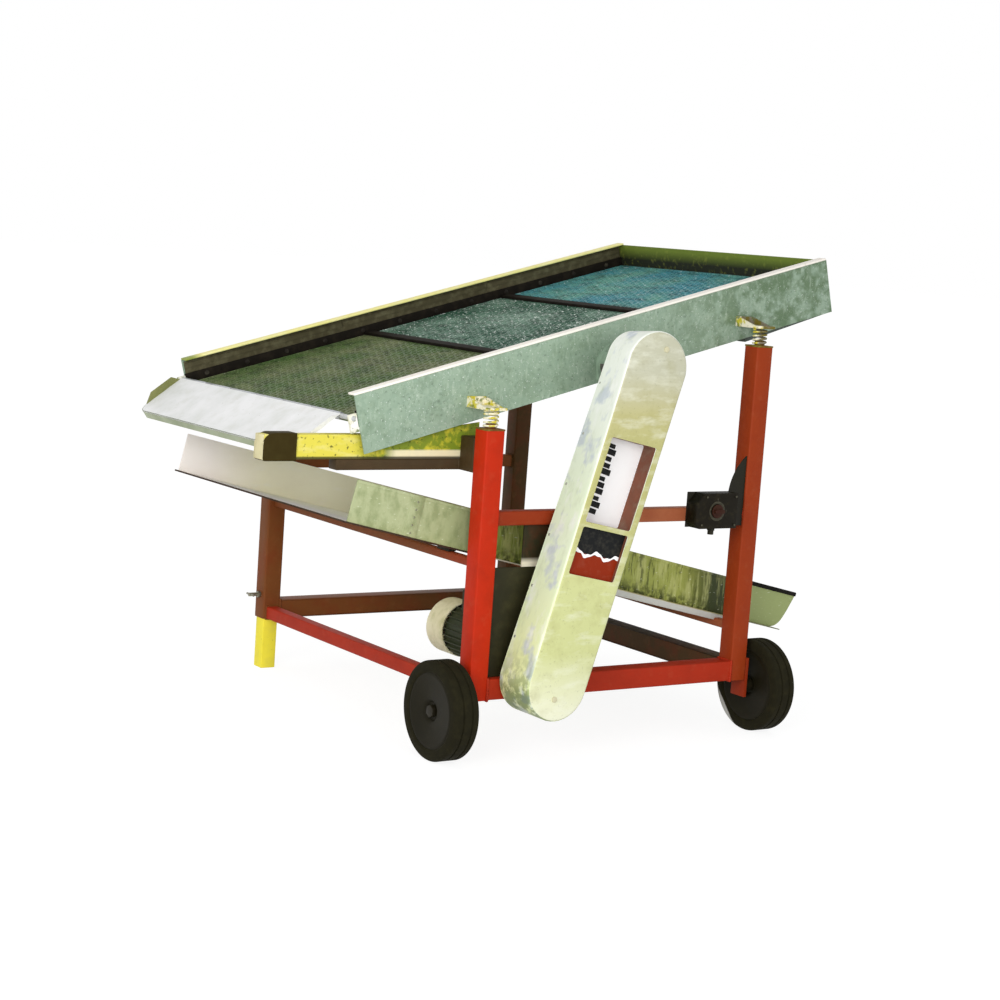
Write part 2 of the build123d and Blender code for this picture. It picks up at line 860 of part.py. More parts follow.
def spacer(x, z, seat_y):
    """A square spacer between the guard's back and the face that it's bolted to."""
    half = spacer_size / 2
    return block((x - half, x + half), (guard_back_y, seat_y), (z - half, z + half))


guard_fixings.append(spacer(guard_line_x - spacer_offset, mid_rail_height, rail_face))
guard_fixings.append(spacer(guard_line_x + spacer_offset, mid_rail_height, rail_face))
guard_fixings.append(spacer(guard_line_x - 1.5 * spacer_offset, rail_under - hanger_height / 2, hanger_y[0]))
guard_fixings.append(spacer(motor_x - spacer_offset / 2, bottom_rail_z, bottom_face))
save(Compound(children=guard_fixings), "guard_fixings")

# ---- chute ----
chute_plane_origin = (low_x + chute_start, 0, chute_low_height)


def chute_side(y):
    """Upright plane in line with the chute: its x runs down the slope and its y square to the floor."""
    origin = (chute_plane_origin[0], y, chute_plane_origin[2])
    return Plane(origin=origin, x_dir=(chute_cos, 0, -chute_sin), z_dir=(0, -1, 0))


chute_near_y = near_y + chute_inset
chute_far_y = far_y - chute_inset

with BuildPart() as chute_floor:
    with BuildSketch(chute_side(chute_near_y - chute_flange)):
        with Locations((chute_length / 2, chute_sheet / 2)):
            Rectangle(chute_length, chute_sheet)
    extrude(amount=chute_near_y - chute_far_y - 2 * chute_flange)
save(chute_floor.part, "chute_floor")


def make_chute_wall(y, start):
    """A wall on the floor; at the spout its end sweeps up in a quarter round."""
    with BuildPart() as wall:
        with BuildSketch(chute_side(y)):
            with BuildLine():
                Line((start, chute_sheet), (chute_length - 25, chute_sheet))
                Spline(
                    (chute_length - 25, chute_sheet),
                    (chute_length + chute_lip / 3, chute_wall * 0.4),
                    (chute_length + chute_lip * 0.7, chute_wall),
                    tangents=((1, 0.15), (0.35, 1)),
                )
                Line((chute_length + chute_lip * 0.7, chute_wall), (start, chute_wall))
                Line((start, chute_wall), (start, chute_sheet))
            make_face()
        extrude(amount=-chute_sheet)
    return wall.part


save(make_chute_wall(chute_near_y, near_wall_set_back), "chute_wall_near")
save(make_chute_wall(chute_far_y - chute_sheet, 0), "chute_wall_far")

edge_end = chute_length + chute_lip * 0.7
edge_span = (edge_end - chute_edge_length, edge_end)
edge_strips = []
for y in (chute_near_y, chute_far_y - chute_sheet):
    with BuildPart() as edge_strip:
        with BuildSketch(chute_side(y - 4)):
            with Locations((sum(edge_span) / 2, chute_wall + 3)):
                Rectangle(chute_edge_length, 6)
        extrude(amount=-chute_sheet - 8)
    edge_strips.append(edge_strip.part)
save(Compound(children=edge_strips), "chute_edge_strip")

packers = []
for x in (low_post_x, high_post_x):
    for y in (chute_near_y + 40, chute_far_y - 40 - packer_width):
        with BuildPart() as packer:
            with BuildSketch(side_view(y)):
                with BuildLine():
                    Polyline(
                        (x - half_chute_rail, chute_rail_top(x)),
                        (x + half_chute_rail, chute_rail_top(x)),
                        (x + half_chute_rail, chute_underside(x + half_chute_rail)),
                        (x - half_chute_rail, chute_underside(x - half_chute_rail)),
                        close=True,
                    )
                make_face()
            extrude(amount=-packer_width)
        packers.append(packer.part)
save(Compound(children=packers), "chute_packers")

# ---- discharge apron on its rod, and the rod's lugs on the side plates ----
rod_x, rod_z = deck_point(-rod_out, rod_depth)
hinge_lugs = []
for start in (inner_near, inner_far - lug_thickness):
    # an ear round the rod in front of the side plate's end, and a tail welded to the plate under the ledge
    across = (start, start + lug_thickness)
    with BuildPart() as lug:
        add(deck_block((-lug_reach, -screen_gap / 2), across, (rod_depth - lug_radius, ledge_bottom)))
        add(deck_block((-lug_reach, lug_tail), across, (ledge_bottom, ledge_bottom + lug_tail_height)))
        with BuildSketch(Plane(origin=(rod_x, start, rod_z), z_dir=(0, 1, 0))):
            Circle(rod_radius)
        extrude(amount=lug_thickness, mode=Mode.SUBTRACT)
    hinge_lugs.append(lug.part)
save(Compound(children=hinge_lugs), "hinge_lugs")

with BuildPart() as hinge_rod:
    with BuildSketch(Plane(origin=(rod_x, inner_near, rod_z), z_dir=(0, 1, 0))):
        Circle(rod_radius)
    extrude(amount=inner_far - inner_near)
save(hinge_rod.part, "hinge_rod")

handle_near_y = near_y + handle_inset
handle_far_y = handle_near_y + handle_width
apron_near_y = handle_far_y + grip_wall + side_gap
apron_far_y = inner_far - lug_thickness - side_gap
fall_cos = cos(radians(apron_fall))
fall_sin = sin(radians(apron_fall))
sleeve_radius = rod_radius + sleeve_wall


def apron_side(y):
    """Upright plane with its origin on the rod and its x down the apron's slope."""
    return Plane(origin=(rod_x, y, rod_z), x_dir=(-fall_cos, 0, -fall_sin), z_dir=(0, 1, 0))


with BuildPart() as apron:
    with BuildSketch(apron_side(apron_near_y)):
        Circle(sleeve_radius)
        with Locations((apron_length / 2, sleeve_radius - apron_sheet / 2)):
            Rectangle(apron_length, apron_sheet)
        with Locations((apron_length - apron_sheet / 2, sleeve_radius - apron_turn_down / 2)):
            Rectangle(apron_sheet, apron_turn_down)
    extrude(amount=apron_far_y - apron_near_y)
    for y in (apron_near_y, apron_far_y - apron_sheet):
        with BuildSketch(apron_side(y)):
            with Locations(((apron_length + sleeve_radius * 2) / 2, sleeve_radius + apron_turn_up / 2)):
                Trapezoid(apron_length - sleeve_radius * 2, apron_turn_up, 60, 75)
        extrude(amount=apron_sheet)
    with BuildSketch(apron_side(apron_near_y)):
        Circle(rod_radius + 2 * running_gap)
    extrude(amount=apron_far_y - apron_near_y, mode=Mode.SUBTRACT)
save(apron.part, "apron")

# ---- handle bar on its arm ----
handle_tip = low_x - handle_reach
handle_mid_y = (handle_near_y + handle_far_y) / 2
arm_end = low_post_x + half_post
with BuildPart() as handle_arm:
    add(block((low_x + arm_reach, arm_end), (handle_near_y, handle_far_y), arm_z))
    add(block((low_post_x - half_post, arm_end), (near_post_y + half_post, handle_near_y), (arm_z[0], handle_top)))
save(handle_arm.part, "handle_arm")

with BuildPart() as handle_bar:
    with BuildSketch(Plane(origin=(handle_tip, 0, 0), x_dir=(0, 1, 0), z_dir=(1, 0, 0))):
        with Locations((handle_mid_y, handle_top - handle_height / 2)):
            Rectangle(handle_width, handle_height)
            Rectangle(handle_width - 2 * handle_wall, handle_height - 2 * handle_wall, mode=Mode.SUBTRACT)
    extrude(amount=arm_end - handle_tip)
    with BuildSketch(side_view(handle_near_y)):
        with BuildLine():
            Polyline(
                (low_post_x - half_post - gusset_reach, handle_top),
                (low_post_x + half_post, handle_top),
                (low_post_x + half_post, plate_bottom(low_post_x) - bounce),
                (low_post_x - half_post, plate_bottom(low_post_x - half_post) - bounce),
                close=True,
            )
        make_face()
    extrude(amount=-gusset_thickness)
save(handle_bar.part, "handle_bar")

with BuildPart() as handle_grip:
    add(block(
        (handle_tip, handle_tip + grip_length),
        (handle_near_y - grip_wall, handle_far_y + grip_wall),
        (handle_low - grip_wall, handle_top + grip_wall),
    ))
    upper_end = handle_grip.edges().filter_by(Axis.Y).group_by(Axis.X)[0]
    fillet(upper_end.sort_by(Axis.Z)[-1], 34)
    fillet(handle_grip.edges().filter_by(Axis.Y).group_by(Axis.X)[0].sort_by(Axis.Z)[0], 8)
    add(block(
        (handle_tip, handle_tip + grip_length),
        (handle_near_y, handle_far_y),
        (handle_low, handle_top),
    ), mode=Mode.SUBTRACT)
save(handle_grip.part, "handle_grip")

# ---- switch box on its bracket, beside the near post at the feed end ----
switch_end = high_post_x - half_post
switch_x = (switch_end - switch_end_gap - switch_size[0], switch_end - switch_end_gap)
switch_low = mid_rail_height - switch_drop
switch_z = (switch_low, switch_low + switch_size[2])
bracket_y = rail_face - switch_sheet
box_front_y = bracket_y - switch_size[1]
knob_x = sum(switch_x) / 2
knob_z = sum(switch_z) / 2

with BuildPart() as switch_bracket:
    with BuildSketch(side_view(rail_face)):
        with BuildLine():
            Line((switch_x[0], switch_z[0]), (switch_end, switch_z[0]))
            Line((switch_end, switch_z[0]), (switch_end, switch_z[1] + gusset_rise))
            RadiusArc((switch_end, switch_z[1] + gusset_rise), (switch_x[1], switch_z[1]), -160)
            Line((switch_x[1], switch_z[1]), (switch_x[0], switch_z[1]))
            Line((switch_x[0], switch_z[1]), (switch_x[0], switch_z[0]))
        make_face()
    extrude(amount=switch_sheet)
save(switch_bracket.part, "switch_bracket")

corner_cut = 30
with BuildPart() as switch_box:
    with BuildSketch(side_view(bracket_y)):
        with BuildLine():
            Polyline(
                (switch_x[0] + corner_cut, switch_z[1]),
                (switch_x[1], switch_z[1]),
                (switch_x[1], switch_z[0]),
                (switch_x[0] + corner_cut / 2, switch_z[0]),
                (switch_x[0], switch_z[0] + corner_cut / 2),
                (switch_x[0], switch_z[1] - corner_cut),
                close=True,
            )
        make_face()
    extrude(amount=switch_size[1] - cover_thickness)
    front = switch_box.faces().sort_by(Axis.Y)[0]
    offset(amount=-switch_wall, openings=front)
save(switch_box.part, "switch_box")

with BuildPart() as switch_cover:
    with BuildSketch(side_view(box_front_y + cover_thickness)):
        with BuildLine():
            Polyline(
                (switch_x[0] + corner_cut, switch_z[1]),
                (switch_x[1], switch_z[1]),
                (switch_x[1], switch_z[0]),
                (switch_x[0] + corner_cut / 2, switch_z[0]),
                (switch_x[0], switch_z[0] + corner_cut / 2),
                (switch_x[0], switch_z[1] - corner_cut),
                close=True,
            )
        make_face()
        with Locations((knob_x, knob_z)):
            Circle(knob_spindle_radius + running_gap, mode=Mode.SUBTRACT)
    extrude(amount=cover_thickness)
save(switch_cover.part, "switch_cover")

with BuildPart() as switch_knob:
    with BuildSketch(side_view(box_front_y)):
        with Locations((knob_x, knob_z)):
            Circle(knob_radius)
    extrude(amount=knob_base)
    with BuildSketch(side_view(box_front_y - knob_base)):
        with Locations((knob_x, knob_z)):
            SlotOverall(knob_grip[0], knob_grip[1])
    extrude(amount=knob_grip[2])
    with BuildSketch(side_view(box_front_y)):
        with Locations((knob_x, knob_z)):
            Circle(knob_spindle_radius)
    extrude(amount=-cover_thickness - 4)
save(switch_knob.part, "switch_knob")


def gland(plane):
    """A cable gland with no cable in it: hexagon collar, round nut and bore."""
    with BuildPart() as fitting:
        with BuildSketch(plane):
            RegularPolygon(radius=gland_radius, side_count=6)
        extrude(amount=gland_collar)
        with BuildSketch(plane.offset(gland_collar)):
            Circle(gland_radius * 0.75)
        extrude(amount=gland_nut)
        with BuildSketch(plane.offset(gland_collar + gland_nut)):
            Circle(gland_radius / 3)
        extrude(amount=-gland_collar - gland_nut / 2, mode=Mode.SUBTRACT)
    return fitting.part


glands = [
    gland(Plane(origin=(knob_x, bracket_y - switch_size[1] / 2, switch_z[0]), z_dir=(0, 0, -1))),
    gland(Plane(origin=(motor_x + terminal_box_size[0] / 2, terminal_y + terminal_box_size[1] / 2,
                        motor_z + motor_radius + terminal_box_size[2] / 2), z_dir=(1, 0, 0))),
]
save(Compound(children=glands), "cable_glands")

# ---- stub axles, wheels ----
axle_z = wheel_radius
stub_axles = []
for name, post_x, outward in (("low", low_post_x, -1), ("high", high_post_x, 1)):
    face_x = post_x + outward * half_post
    wheel_x = face_x + outward * wheel_stand_off
    plate_outer = face_x + outward * axle_plate_thickness
    hub_inner = wheel_x - outward * hub_length / 2
    hub_outer = wheel_x + outward * hub_length / 2
    with BuildPart() as stub_axle:
        add(block(
            sorted((face_x, plate_outer)),
            (near_post_y - half_post, near_post_y + half_post),
            (axle_z - half_post, axle_z - half_post + axle_plate_height),
        ))
        with BuildSketch(Plane(origin=(plate_outer, near_post_y, axle_z), z_dir=(outward, 0, 0))):
            Circle(axle_radius * 1.6)
        extrude(amount=abs(hub_inner - plate_outer) - 0.3)
        with BuildSketch(Plane(origin=(plate_outer, near_post_y, axle_z), z_dir=(outward, 0, 0))):
            Circle(axle_radius)
        extrude(amount=abs(hub_outer - plate_outer) + 0.3)
        with BuildSketch(Plane(origin=(hub_outer + outward * 0.3, near_post_y, axle_z), z_dir=(outward, 0, 0))):
            RegularPolygon(radius=axle_nut_radius, side_count=6)
        extrude(amount=axle_nut_length)
    stub_axles.append(stub_axle.part)

    wheel_plane = Plane(origin=(wheel_x, near_post_y, axle_z), x_dir=(0, 1, 0), z_dir=(1, 0, 0))
    disc_radius = wheel_radius - tyre_depth
    with BuildPart() as tyre:
        with BuildSketch(wheel_plane.offset(-tyre_width / 2)):
            Circle(wheel_radius)
        extrude(amount=tyre_width)
        fillet(tyre.edges().filter_by(GeomType.CIRCLE), tyre_round)
        with BuildSketch(wheel_plane.offset(-tyre_width / 2)):
            Circle(disc_radius)
        extrude(amount=tyre_width, mode=Mode.SUBTRACT)
    save(tyre.part, f"tyre_{name}")

    with BuildPart() as wheel_disc:
        with BuildSketch(wheel_plane.offset(-disc_thickness / 2)):
            Circle(disc_radius)
        extrude(amount=disc_thickness)
        with BuildSketch(wheel_plane.offset(-tyre_width / 2 + 3)):
            Circle(disc_radius)
            Circle(disc_radius - 6, mode=Mode.SUBTRACT)
        extrude(amount=tyre_width - 6)
        with BuildSketch(wheel_plane.offset(-hub_length / 2)):
            Circle(hub_radius)
        extrude(amount=hub_length)
        with BuildSketch(wheel_plane.offset(-hub_length / 2)):
            Circle(axle_radius + running_gap)
        extrude(amount=hub_length, mode=Mode.SUBTRACT)
    save(wheel_disc.part, f"wheel_{name}")
save(Compound(children=stub_axles), "stub_axles")

# ---- telescopic feet in the far posts, and their clamp screws ----
foot_clamps = []
for name, x, outward in (("low", low_post_x, -1), ("high", high_post_x, 1)):
    with BuildPart() as foot:
        add(square_tube(Plane(origin=(x, far_post_y, foot_pad_height)), foot_size, foot_wall,
                        ground_clearance + foot_engagement_length - foot_pad_height))
        with BuildSketch(Plane(origin=(x, far_post_y, 0))):
            Rectangle(foot_size, foot_size)
        extrude(amount=foot_pad_height)
    save(foot.part, f"foot_{name}")

    tip = x + outward * (foot_size / 2 + 0.3)
    wall_outer = x + outward * half_post
    with BuildPart() as clamp:
        with BuildSketch(Plane(origin=(tip, far_post_y, clamp_height), z_dir=(outward, 0, 0))):
            Circle(clamp_radius)
        extrude(amount=clamp_length)
        with BuildSketch(Plane(origin=(wall_outer, far_post_y, clamp_height), z_dir=(outward, 0, 0))):
            RegularPolygon(radius=clamp_radius * 1.8, side_count=6)
        extrude(amount=clamp_radius * 1.6)
        cross_x = tip + outward * (clamp_length - clamp_radius)
        with BuildSketch(Plane(origin=(cross_x, far_post_y - clamp_length / 2, clamp_height), z_dir=(0, 1, 0))):
            Circle(clamp_radius * 0.6)
        extrude(amount=clamp_length)
    foot_clamps.append(clamp.part)
save(Compound(children=foot_clamps), "foot_clamps")
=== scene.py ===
"""Looks for a wheeled, motor-driven wash screen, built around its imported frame."""

import json
import math

import bmesh
import bpy
from mathutils import Matrix, Vector, noise

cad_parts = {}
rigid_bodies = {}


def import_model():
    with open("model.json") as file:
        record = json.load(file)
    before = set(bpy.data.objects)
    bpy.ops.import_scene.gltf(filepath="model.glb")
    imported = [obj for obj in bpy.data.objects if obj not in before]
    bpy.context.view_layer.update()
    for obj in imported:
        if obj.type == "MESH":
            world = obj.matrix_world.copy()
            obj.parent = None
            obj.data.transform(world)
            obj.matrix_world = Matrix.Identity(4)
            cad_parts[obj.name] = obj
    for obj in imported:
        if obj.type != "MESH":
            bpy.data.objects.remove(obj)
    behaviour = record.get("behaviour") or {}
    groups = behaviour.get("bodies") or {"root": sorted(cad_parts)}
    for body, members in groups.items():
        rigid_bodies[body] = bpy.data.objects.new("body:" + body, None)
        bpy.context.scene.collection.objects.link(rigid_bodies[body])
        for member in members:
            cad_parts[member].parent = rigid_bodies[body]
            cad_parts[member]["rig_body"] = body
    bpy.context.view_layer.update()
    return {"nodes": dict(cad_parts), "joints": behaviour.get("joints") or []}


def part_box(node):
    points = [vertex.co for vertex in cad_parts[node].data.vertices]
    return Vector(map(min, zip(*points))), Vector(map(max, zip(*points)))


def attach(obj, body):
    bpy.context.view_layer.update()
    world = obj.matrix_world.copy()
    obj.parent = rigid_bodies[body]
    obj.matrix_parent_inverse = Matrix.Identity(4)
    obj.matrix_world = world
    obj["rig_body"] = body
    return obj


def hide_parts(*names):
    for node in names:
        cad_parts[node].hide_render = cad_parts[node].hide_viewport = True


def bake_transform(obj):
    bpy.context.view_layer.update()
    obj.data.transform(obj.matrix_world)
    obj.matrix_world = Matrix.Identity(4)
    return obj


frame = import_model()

bl_info = {
    "name": "Wash screen looks",
    "version": (1, 0, 0),
    "blender": (4, 5, 0),
    "location": "View3D > Sidebar > Wash screen",
    "description": "Builds the visible pieces of a wheeled wash screen around its packed frame",
    "category": "Object",
}

MM = 0.001
BODY_OF = {name: node["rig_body"] for name, node in frame["nodes"].items()}
JOINT_PLACE = {joint["name"]: Vector(joint["pos_m"]) for joint in frame["joints"] if "pos_m" in joint}


# ---------------------------------------------------------------- places
# Sizes are in millimetres in a piece's local frame. Boxes and joints are in metres in the machine's.

def basis(origin, x_dir, y_dir):
    """A matrix from a local frame to the machine's frame."""
    x_dir, y_dir = Vector(x_dir), Vector(y_dir)
    turned = Matrix((x_dir, y_dir, x_dir.cross(y_dir))).transposed().to_4x4()
    turned.translation = Vector(origin)
    return turned


def pitched(angle):
    """Directions along and square to a line that climbs towards +X at an angle."""
    return Vector((math.cos(angle), 0, math.sin(angle))), Vector((-math.sin(angle), 0, math.cos(angle)))


def facing(origin, direction):
    """A matrix at a point whose z runs along a direction."""
    matrix = Vector(direction).normalized().to_track_quat("Z", "Y").to_matrix().to_4x4()
    matrix.translation = Vector(origin)
    return matrix


def at(place, *spot):
    """A point of the machine, from millimetres in a local frame."""
    return place @ (Vector(spot) * MM)


WORLD = Matrix.Identity(4)
SHAFT = JOINT_PLACE["shaft_spin"]
MOTOR = JOINT_PLACE["motor_spin"]
ROD = JOINT_PLACE["apron_fold"]
KNOB = JOINT_PLACE["switch_turn"]

# deck: x up the slope, y across from the near plate's outer face, z square to the deck from its top edge
NEAR_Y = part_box("side_plate_near")[0].y
FAR_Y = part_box("side_plate_far")[1].y
DECK_WIDTH = (FAR_Y - NEAR_Y) / MM
PLATE_DEPTH = 168.0
SCREEN_DEPTH = 77.0
SHAFT_ALONG, SHAFT_DEPTH = 822.0, 115.0
along_deck, above_deck = pitched(math.radians(15))
deck_origin = SHAFT - along_deck * SHAFT_ALONG * MM + above_deck * SHAFT_DEPTH * MM
DECK = basis((deck_origin.x, NEAR_Y, deck_origin.z), along_deck, (0, 1, 0))

# guard: y up the line of the drive from the shaft, z out from the back plate
GUARD = basis((SHAFT.x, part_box("guard_shell")[1].y, SHAFT.z), *pitched(-math.radians(17)))

# chute: x down the slope, y across from the near wall's outer face, z square to the floor from its underside
CHUTE_PITCH = math.radians(13.2)
CHUTE_SHEET, CHUTE_WALL = 3.0, 120.0
along_chute, above_chute = pitched(-CHUTE_PITCH)
chute_near_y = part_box("chute_wall_near")[0].y
CHUTE_WIDTH = (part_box("chute_wall_far")[1].y - chute_near_y) / MM
chute_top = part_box("chute_floor")[1].z - CHUTE_SHEET * MM * math.cos(CHUTE_PITCH)
CHUTE = basis((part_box("chute_floor")[0].x, chute_near_y, chute_top), along_chute, (0, 1, 0))


# ---------------------------------------------------------------- meshes

QUARTER = [k * math.pi / 10 for k in range(6)]


def circle(radius, sides, start=0.0):
    """Points round a circle, from a share of a side past the first axis."""
    angles = [math.tau * (i + start) / sides for i in range(sides)]
    return [(radius * math.cos(t), radius * math.sin(t)) for t in angles]


def bridge(bm, first, second):
    """Faces between two closed rings of vertices."""
    for i in range(len(first)):
        k = (i + 1) % len(first)
        bm.faces.new((first[i], first[k], second[k], second[i]))


def skin(bm, place, rings, loop=False, caps=False):
    """Faces between neighbouring rings of points; a loop joins the last ring to the first."""
    made = [[bm.verts.new(at(place, *point)) for point in ring] for ring in rings]
    for first, second in zip(made, made[1:]):
        bridge(bm, first, second)
    if loop:
        bridge(bm, made[-1], made[0])
    if caps:
        bm.faces.new(reversed(made[0]))
        bm.faces.new(made[-1])
    return made


def add_box(bm, place, low, high, round_edge):
    """A box between two corners with its edges rounded."""
    made = bmesh.ops.create_cube(bm, size=1.0)["verts"]
    for v in made:
        v.co = at(place, *[(low[i] + high[i]) / 2 + v.co[i] * (high[i] - low[i]) for i in range(3)])
    edges = list({edge for v in made for edge in v.link_edges})
    bmesh.ops.bevel(
        bm, geom=edges, offset=round_edge * MM, segments=2, profile=0.5, affect="EDGES", clamp_overlap=True
    )


def add_turned(bm, place, profile, sides=48, loop=False):
    """A lathe-turned form about the local z axis, from a profile of radius and height."""
    rings = [[(x, y, height) for x, y in circle(radius, sides)] for radius, height in profile]
    skin(bm, place, rings, loop=loop, caps=not loop)


def add_bolt(bm, place, size, washer=True):
    """A hexagon head with a chamfered top, on a washer; local z points out of the joint."""
    seat = 1.4
    across = size * 0.95
    if washer:
        add_turned(bm, place, [(across * 1.35, 0), (across * 1.35, 1.2), (across * 1.2, 1.6)], sides=24)
    head = [(across, seat), (across, seat + size * 0.5), (across * 0.82, seat + size * 0.62)]
    add_turned(bm, place, head, sides=6)


def follow(bm, place, points, section):
    """Sweeps a section, given as (across, up) pairs, along points that never run straight up."""
    rings = []
    for i, point in enumerate(points):
        before, after = points[max(i - 1, 0)], points[min(i + 1, len(points) - 1)]
        tangent = (Vector(after) - Vector(before)).normalized()
        side = tangent.cross(Vector((0, 0, 1))).normalized()
        up = side.cross(tangent)
        rings.append([Vector(point) + side * a + up * b for a, b in section])
    skin(bm, place, rings, caps=True)


def capsule(top, top_radius, bottom, bottom_radius, inset=0.0, steps=20):
    """Outline of two circles on one upright line and the straight sides that join them."""
    lean = math.asin((bottom_radius - top_radius) / (top - bottom))
    points = []
    for centre, radius, start, sweep in (
        (top, top_radius - inset, lean, math.pi - 2 * lean),
        (bottom, bottom_radius - inset, math.pi - lean, math.pi + 2 * lean),
    ):
        angles = [start + sweep * i / steps for i in range(steps + 1)]
        points += [(radius * math.cos(t), centre + radius * math.sin(t)) for t in angles]
    return points


def in_finish(bm, index, add, *args, **options):
    """Adds a form and gives its faces another of the piece's finishes."""
    before = set(bm.faces)
    add(bm, *args, **options)
    for face in set(bm.faces) - before:
        face.material_index = index


def choose(obj, index, test):
    """Gives another of its finishes to the faces of a piece whose centres pass a test."""
    for face in obj.data.polygons:
        if test(face.center):
            face.material_index = index


def make_piece(name, bm, body, finishes, stands_for=(), smooth=38.0, stretch=None):
    """Turns a mesh into a named piece that rides on a body, or, when stretch is given, stays fixed in place
    with no body.
    """
    bmesh.ops.recalc_face_normals(bm, faces=bm.faces)
    mesh = bpy.data.meshes.new(name)
    bm.to_mesh(mesh)
    bm.free()
    mesh.shade_smooth()
    mesh.set_sharp_from_angle(angle=math.radians(smooth))
    for finish in finishes if isinstance(finishes, (list, tuple)) else (finishes,):
        mesh.materials.append(finish)
    obj = bpy.data.objects.new(name, mesh)
    bpy.context.scene.collection.objects.link(obj)
    if stretch:
        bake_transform(obj)
    else:
        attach(obj, body)
    if stands_for:
        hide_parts(*stands_for)
    return obj


def refine(node, finishes, width=1.0, shortest=0.0, trim=None):
    """A piece in a node's own shape, with its sharp edges rounded where they are longer than shortest."""
    bm = bmesh.new()
    bm.from_mesh(frame["nodes"][node].data)
    bmesh.ops.remove_doubles(bm, verts=bm.verts, dist=0.02 * MM)
    bmesh.ops.dissolve_limit(bm, angle_limit=math.radians(1), verts=bm.verts, edges=bm.edges)
    for layer in list(bm.loops.layers.uv):
        bm.loops.layers.uv.remove(layer)
    if trim:
        trim(bm)
    sharp = math.radians(35)
    edges = [
        edge for edge in bm.edges if len(edge.link_faces) == 2
        and edge.calc_face_angle(0.0) > sharp and edge.calc_length() > shortest * MM
    ]
    bmesh.ops.bevel(
        bm, geom=edges, offset=width * MM, segments=3, profile=0.5, affect="EDGES", clamp_overlap=True
    )
    return make_piece(node + "_piece", bm, BODY_OF[node], finishes, [node])


# ---------------------------------------------------------------- materials

def linear(colour):
    """An sRGB hex colour as linear RGBA."""
    values = [int(colour[i:i + 2], 16) / 255 for i in (1, 3, 5)]
    return (*[v / 12.92 if v <= 0.04045 else ((v + 0.055) / 1.055) ** 2.4 for v in values], 1.0)


def add_node(tree, kind, settings=None, links=None):
    """Adds one node; settings fill its fields or sockets, and links feed its sockets."""
    node = tree.nodes.new(kind)
    for key, value in (settings or {}).items():
        if isinstance(key, str) and hasattr(node, key):
            setattr(node, key, value)
        else:
            node.inputs[key].default_value = value
    for key, source in (links or {}).items():
        tree.links.new(source, node.inputs[key])
    return node


# A mask is a function of a material's node tree and its place socket, and gives a socket from 0 to 1.

def patches(size, low=0.45, high=0.6, detail=4.0, stretch=(1, 1, 1)):
    """A mask of irregular patches about a size in millimetres, drawn out along an axis by stretch."""
    def mask(tree, place):
        if stretch != (1, 1, 1):
            place = add_node(tree, "ShaderNodeMapping", {"Scale": stretch}, {"Vector": place}).outputs[0]
        settings = {"Scale": 1 / (size * MM), "Detail": detail, "Roughness": 0.6}
        spots = add_node(tree, "ShaderNodeTexNoise", settings, {"Vector": place}).outputs[0]
        ends = {"From Min": low, "From Max": high}
        return add_node(tree, "ShaderNodeMapRange", ends, {"Value": spots}).outputs[0]
    return mask


def span(axis, start, end):
    """A mask that rises from start to end, in metres along an axis of the machine or a direction."""
    direction = [float(axis == letter) for letter in "XYZ"] if isinstance(axis, str) else axis

    def mask(tree, place):
        way = add_node(tree, "ShaderNodeVectorMath", {"operation": "DOT_PRODUCT", 1: direction}, {0: place})
        ends = {"From Min": start, "From Max": end}
        return add_node(tree, "ShaderNodeMapRange", ends, {"Value": way.outputs["Value"]}).outputs[0]
    return mask


def both(first, second):
    """A mask that holds where two masks hold."""
    def mask(tree, place):
        sources = {0: first(tree, place), 1: second(tree, place)}
        return add_node(tree, "ShaderNodeMath", {"operation": "MULTIPLY"}, sources).outputs[0]
    return mask


def lay(tree, place, under, layers):
    """Lays colours, or lists of further layers, over one another, each by its mask and maybe a strength."""
    for over, mask, *strength in layers:
        if isinstance(over, list):
            over = lay(tree, place, under, over)
        share = mask(tree, place)
        if strength:
            part = {"operation": "MULTIPLY", 1: strength[0]}
            share = add_node(tree, "ShaderNodeMath", part, {0: share}).outputs[0]
        mix = add_node(tree, "ShaderNodeMix", {"data_type": "RGBA"}, {0: share})
        for socket, colour in ((6, under), (7, over)):
            if isinstance(colour, bpy.types.NodeSocket):
                tree.links.new(colour, mix.inputs[socket])
            else:
                mix.inputs[socket].default_value = linear(colour) if isinstance(colour, str) else colour
        under = mix.outputs[2]
    return under


def make_finish(name, colour, layers, uneven, roughness, metallic=0.0, ior=1.5):
    """A material with layers laid over a colour; uneven is its relief: size, depth, detail and stretch."""
    material = bpy.data.materials.new(name)
    material.use_nodes = True
    tree = material.node_tree
    shader = tree.nodes["Principled BSDF"]
    for socket, value in (("Roughness", roughness), ("Metallic", metallic), ("IOR", ior)):
        shader.inputs[socket].default_value = value
    place = add_node(tree, "ShaderNodeTexCoord").outputs["Object"]
    tree.links.new(lay(tree, place, colour, layers), shader.inputs["Base Color"])
    size, depth, *more = uneven
    height = patches(size, 0.0, 1.0, *(more or [3.0]))(tree, place)
    bump = add_node(tree, "ShaderNodeBump", {"Strength": 1.0, "Distance": depth * MM}, {"Height": height})
    tree.links.new(bump.outputs[0], shader.inputs["Normal"])
    return material


def alkyd_enamel(
    name, colour, aged=None, dust="#c9bfa4", dust_cover=0.25, chips="#3a2418", roughness=0.55, ior=1.3
):
    """Alkyd enamel sprayed on mild steel and chalked by the sun: a weak sheen, dust, chips down to rust."""
    layers = [(aged, patches(90, 0.35, 0.7))] if aged else []
    layers += [(dust, patches(45, 0.5, 0.85, 6.0), dust_cover), (chips, patches(7, 0.69, 0.73, 5.0), 0.8)]
    return make_finish(name, colour, layers, (5, 0.25), roughness, ior=ior)


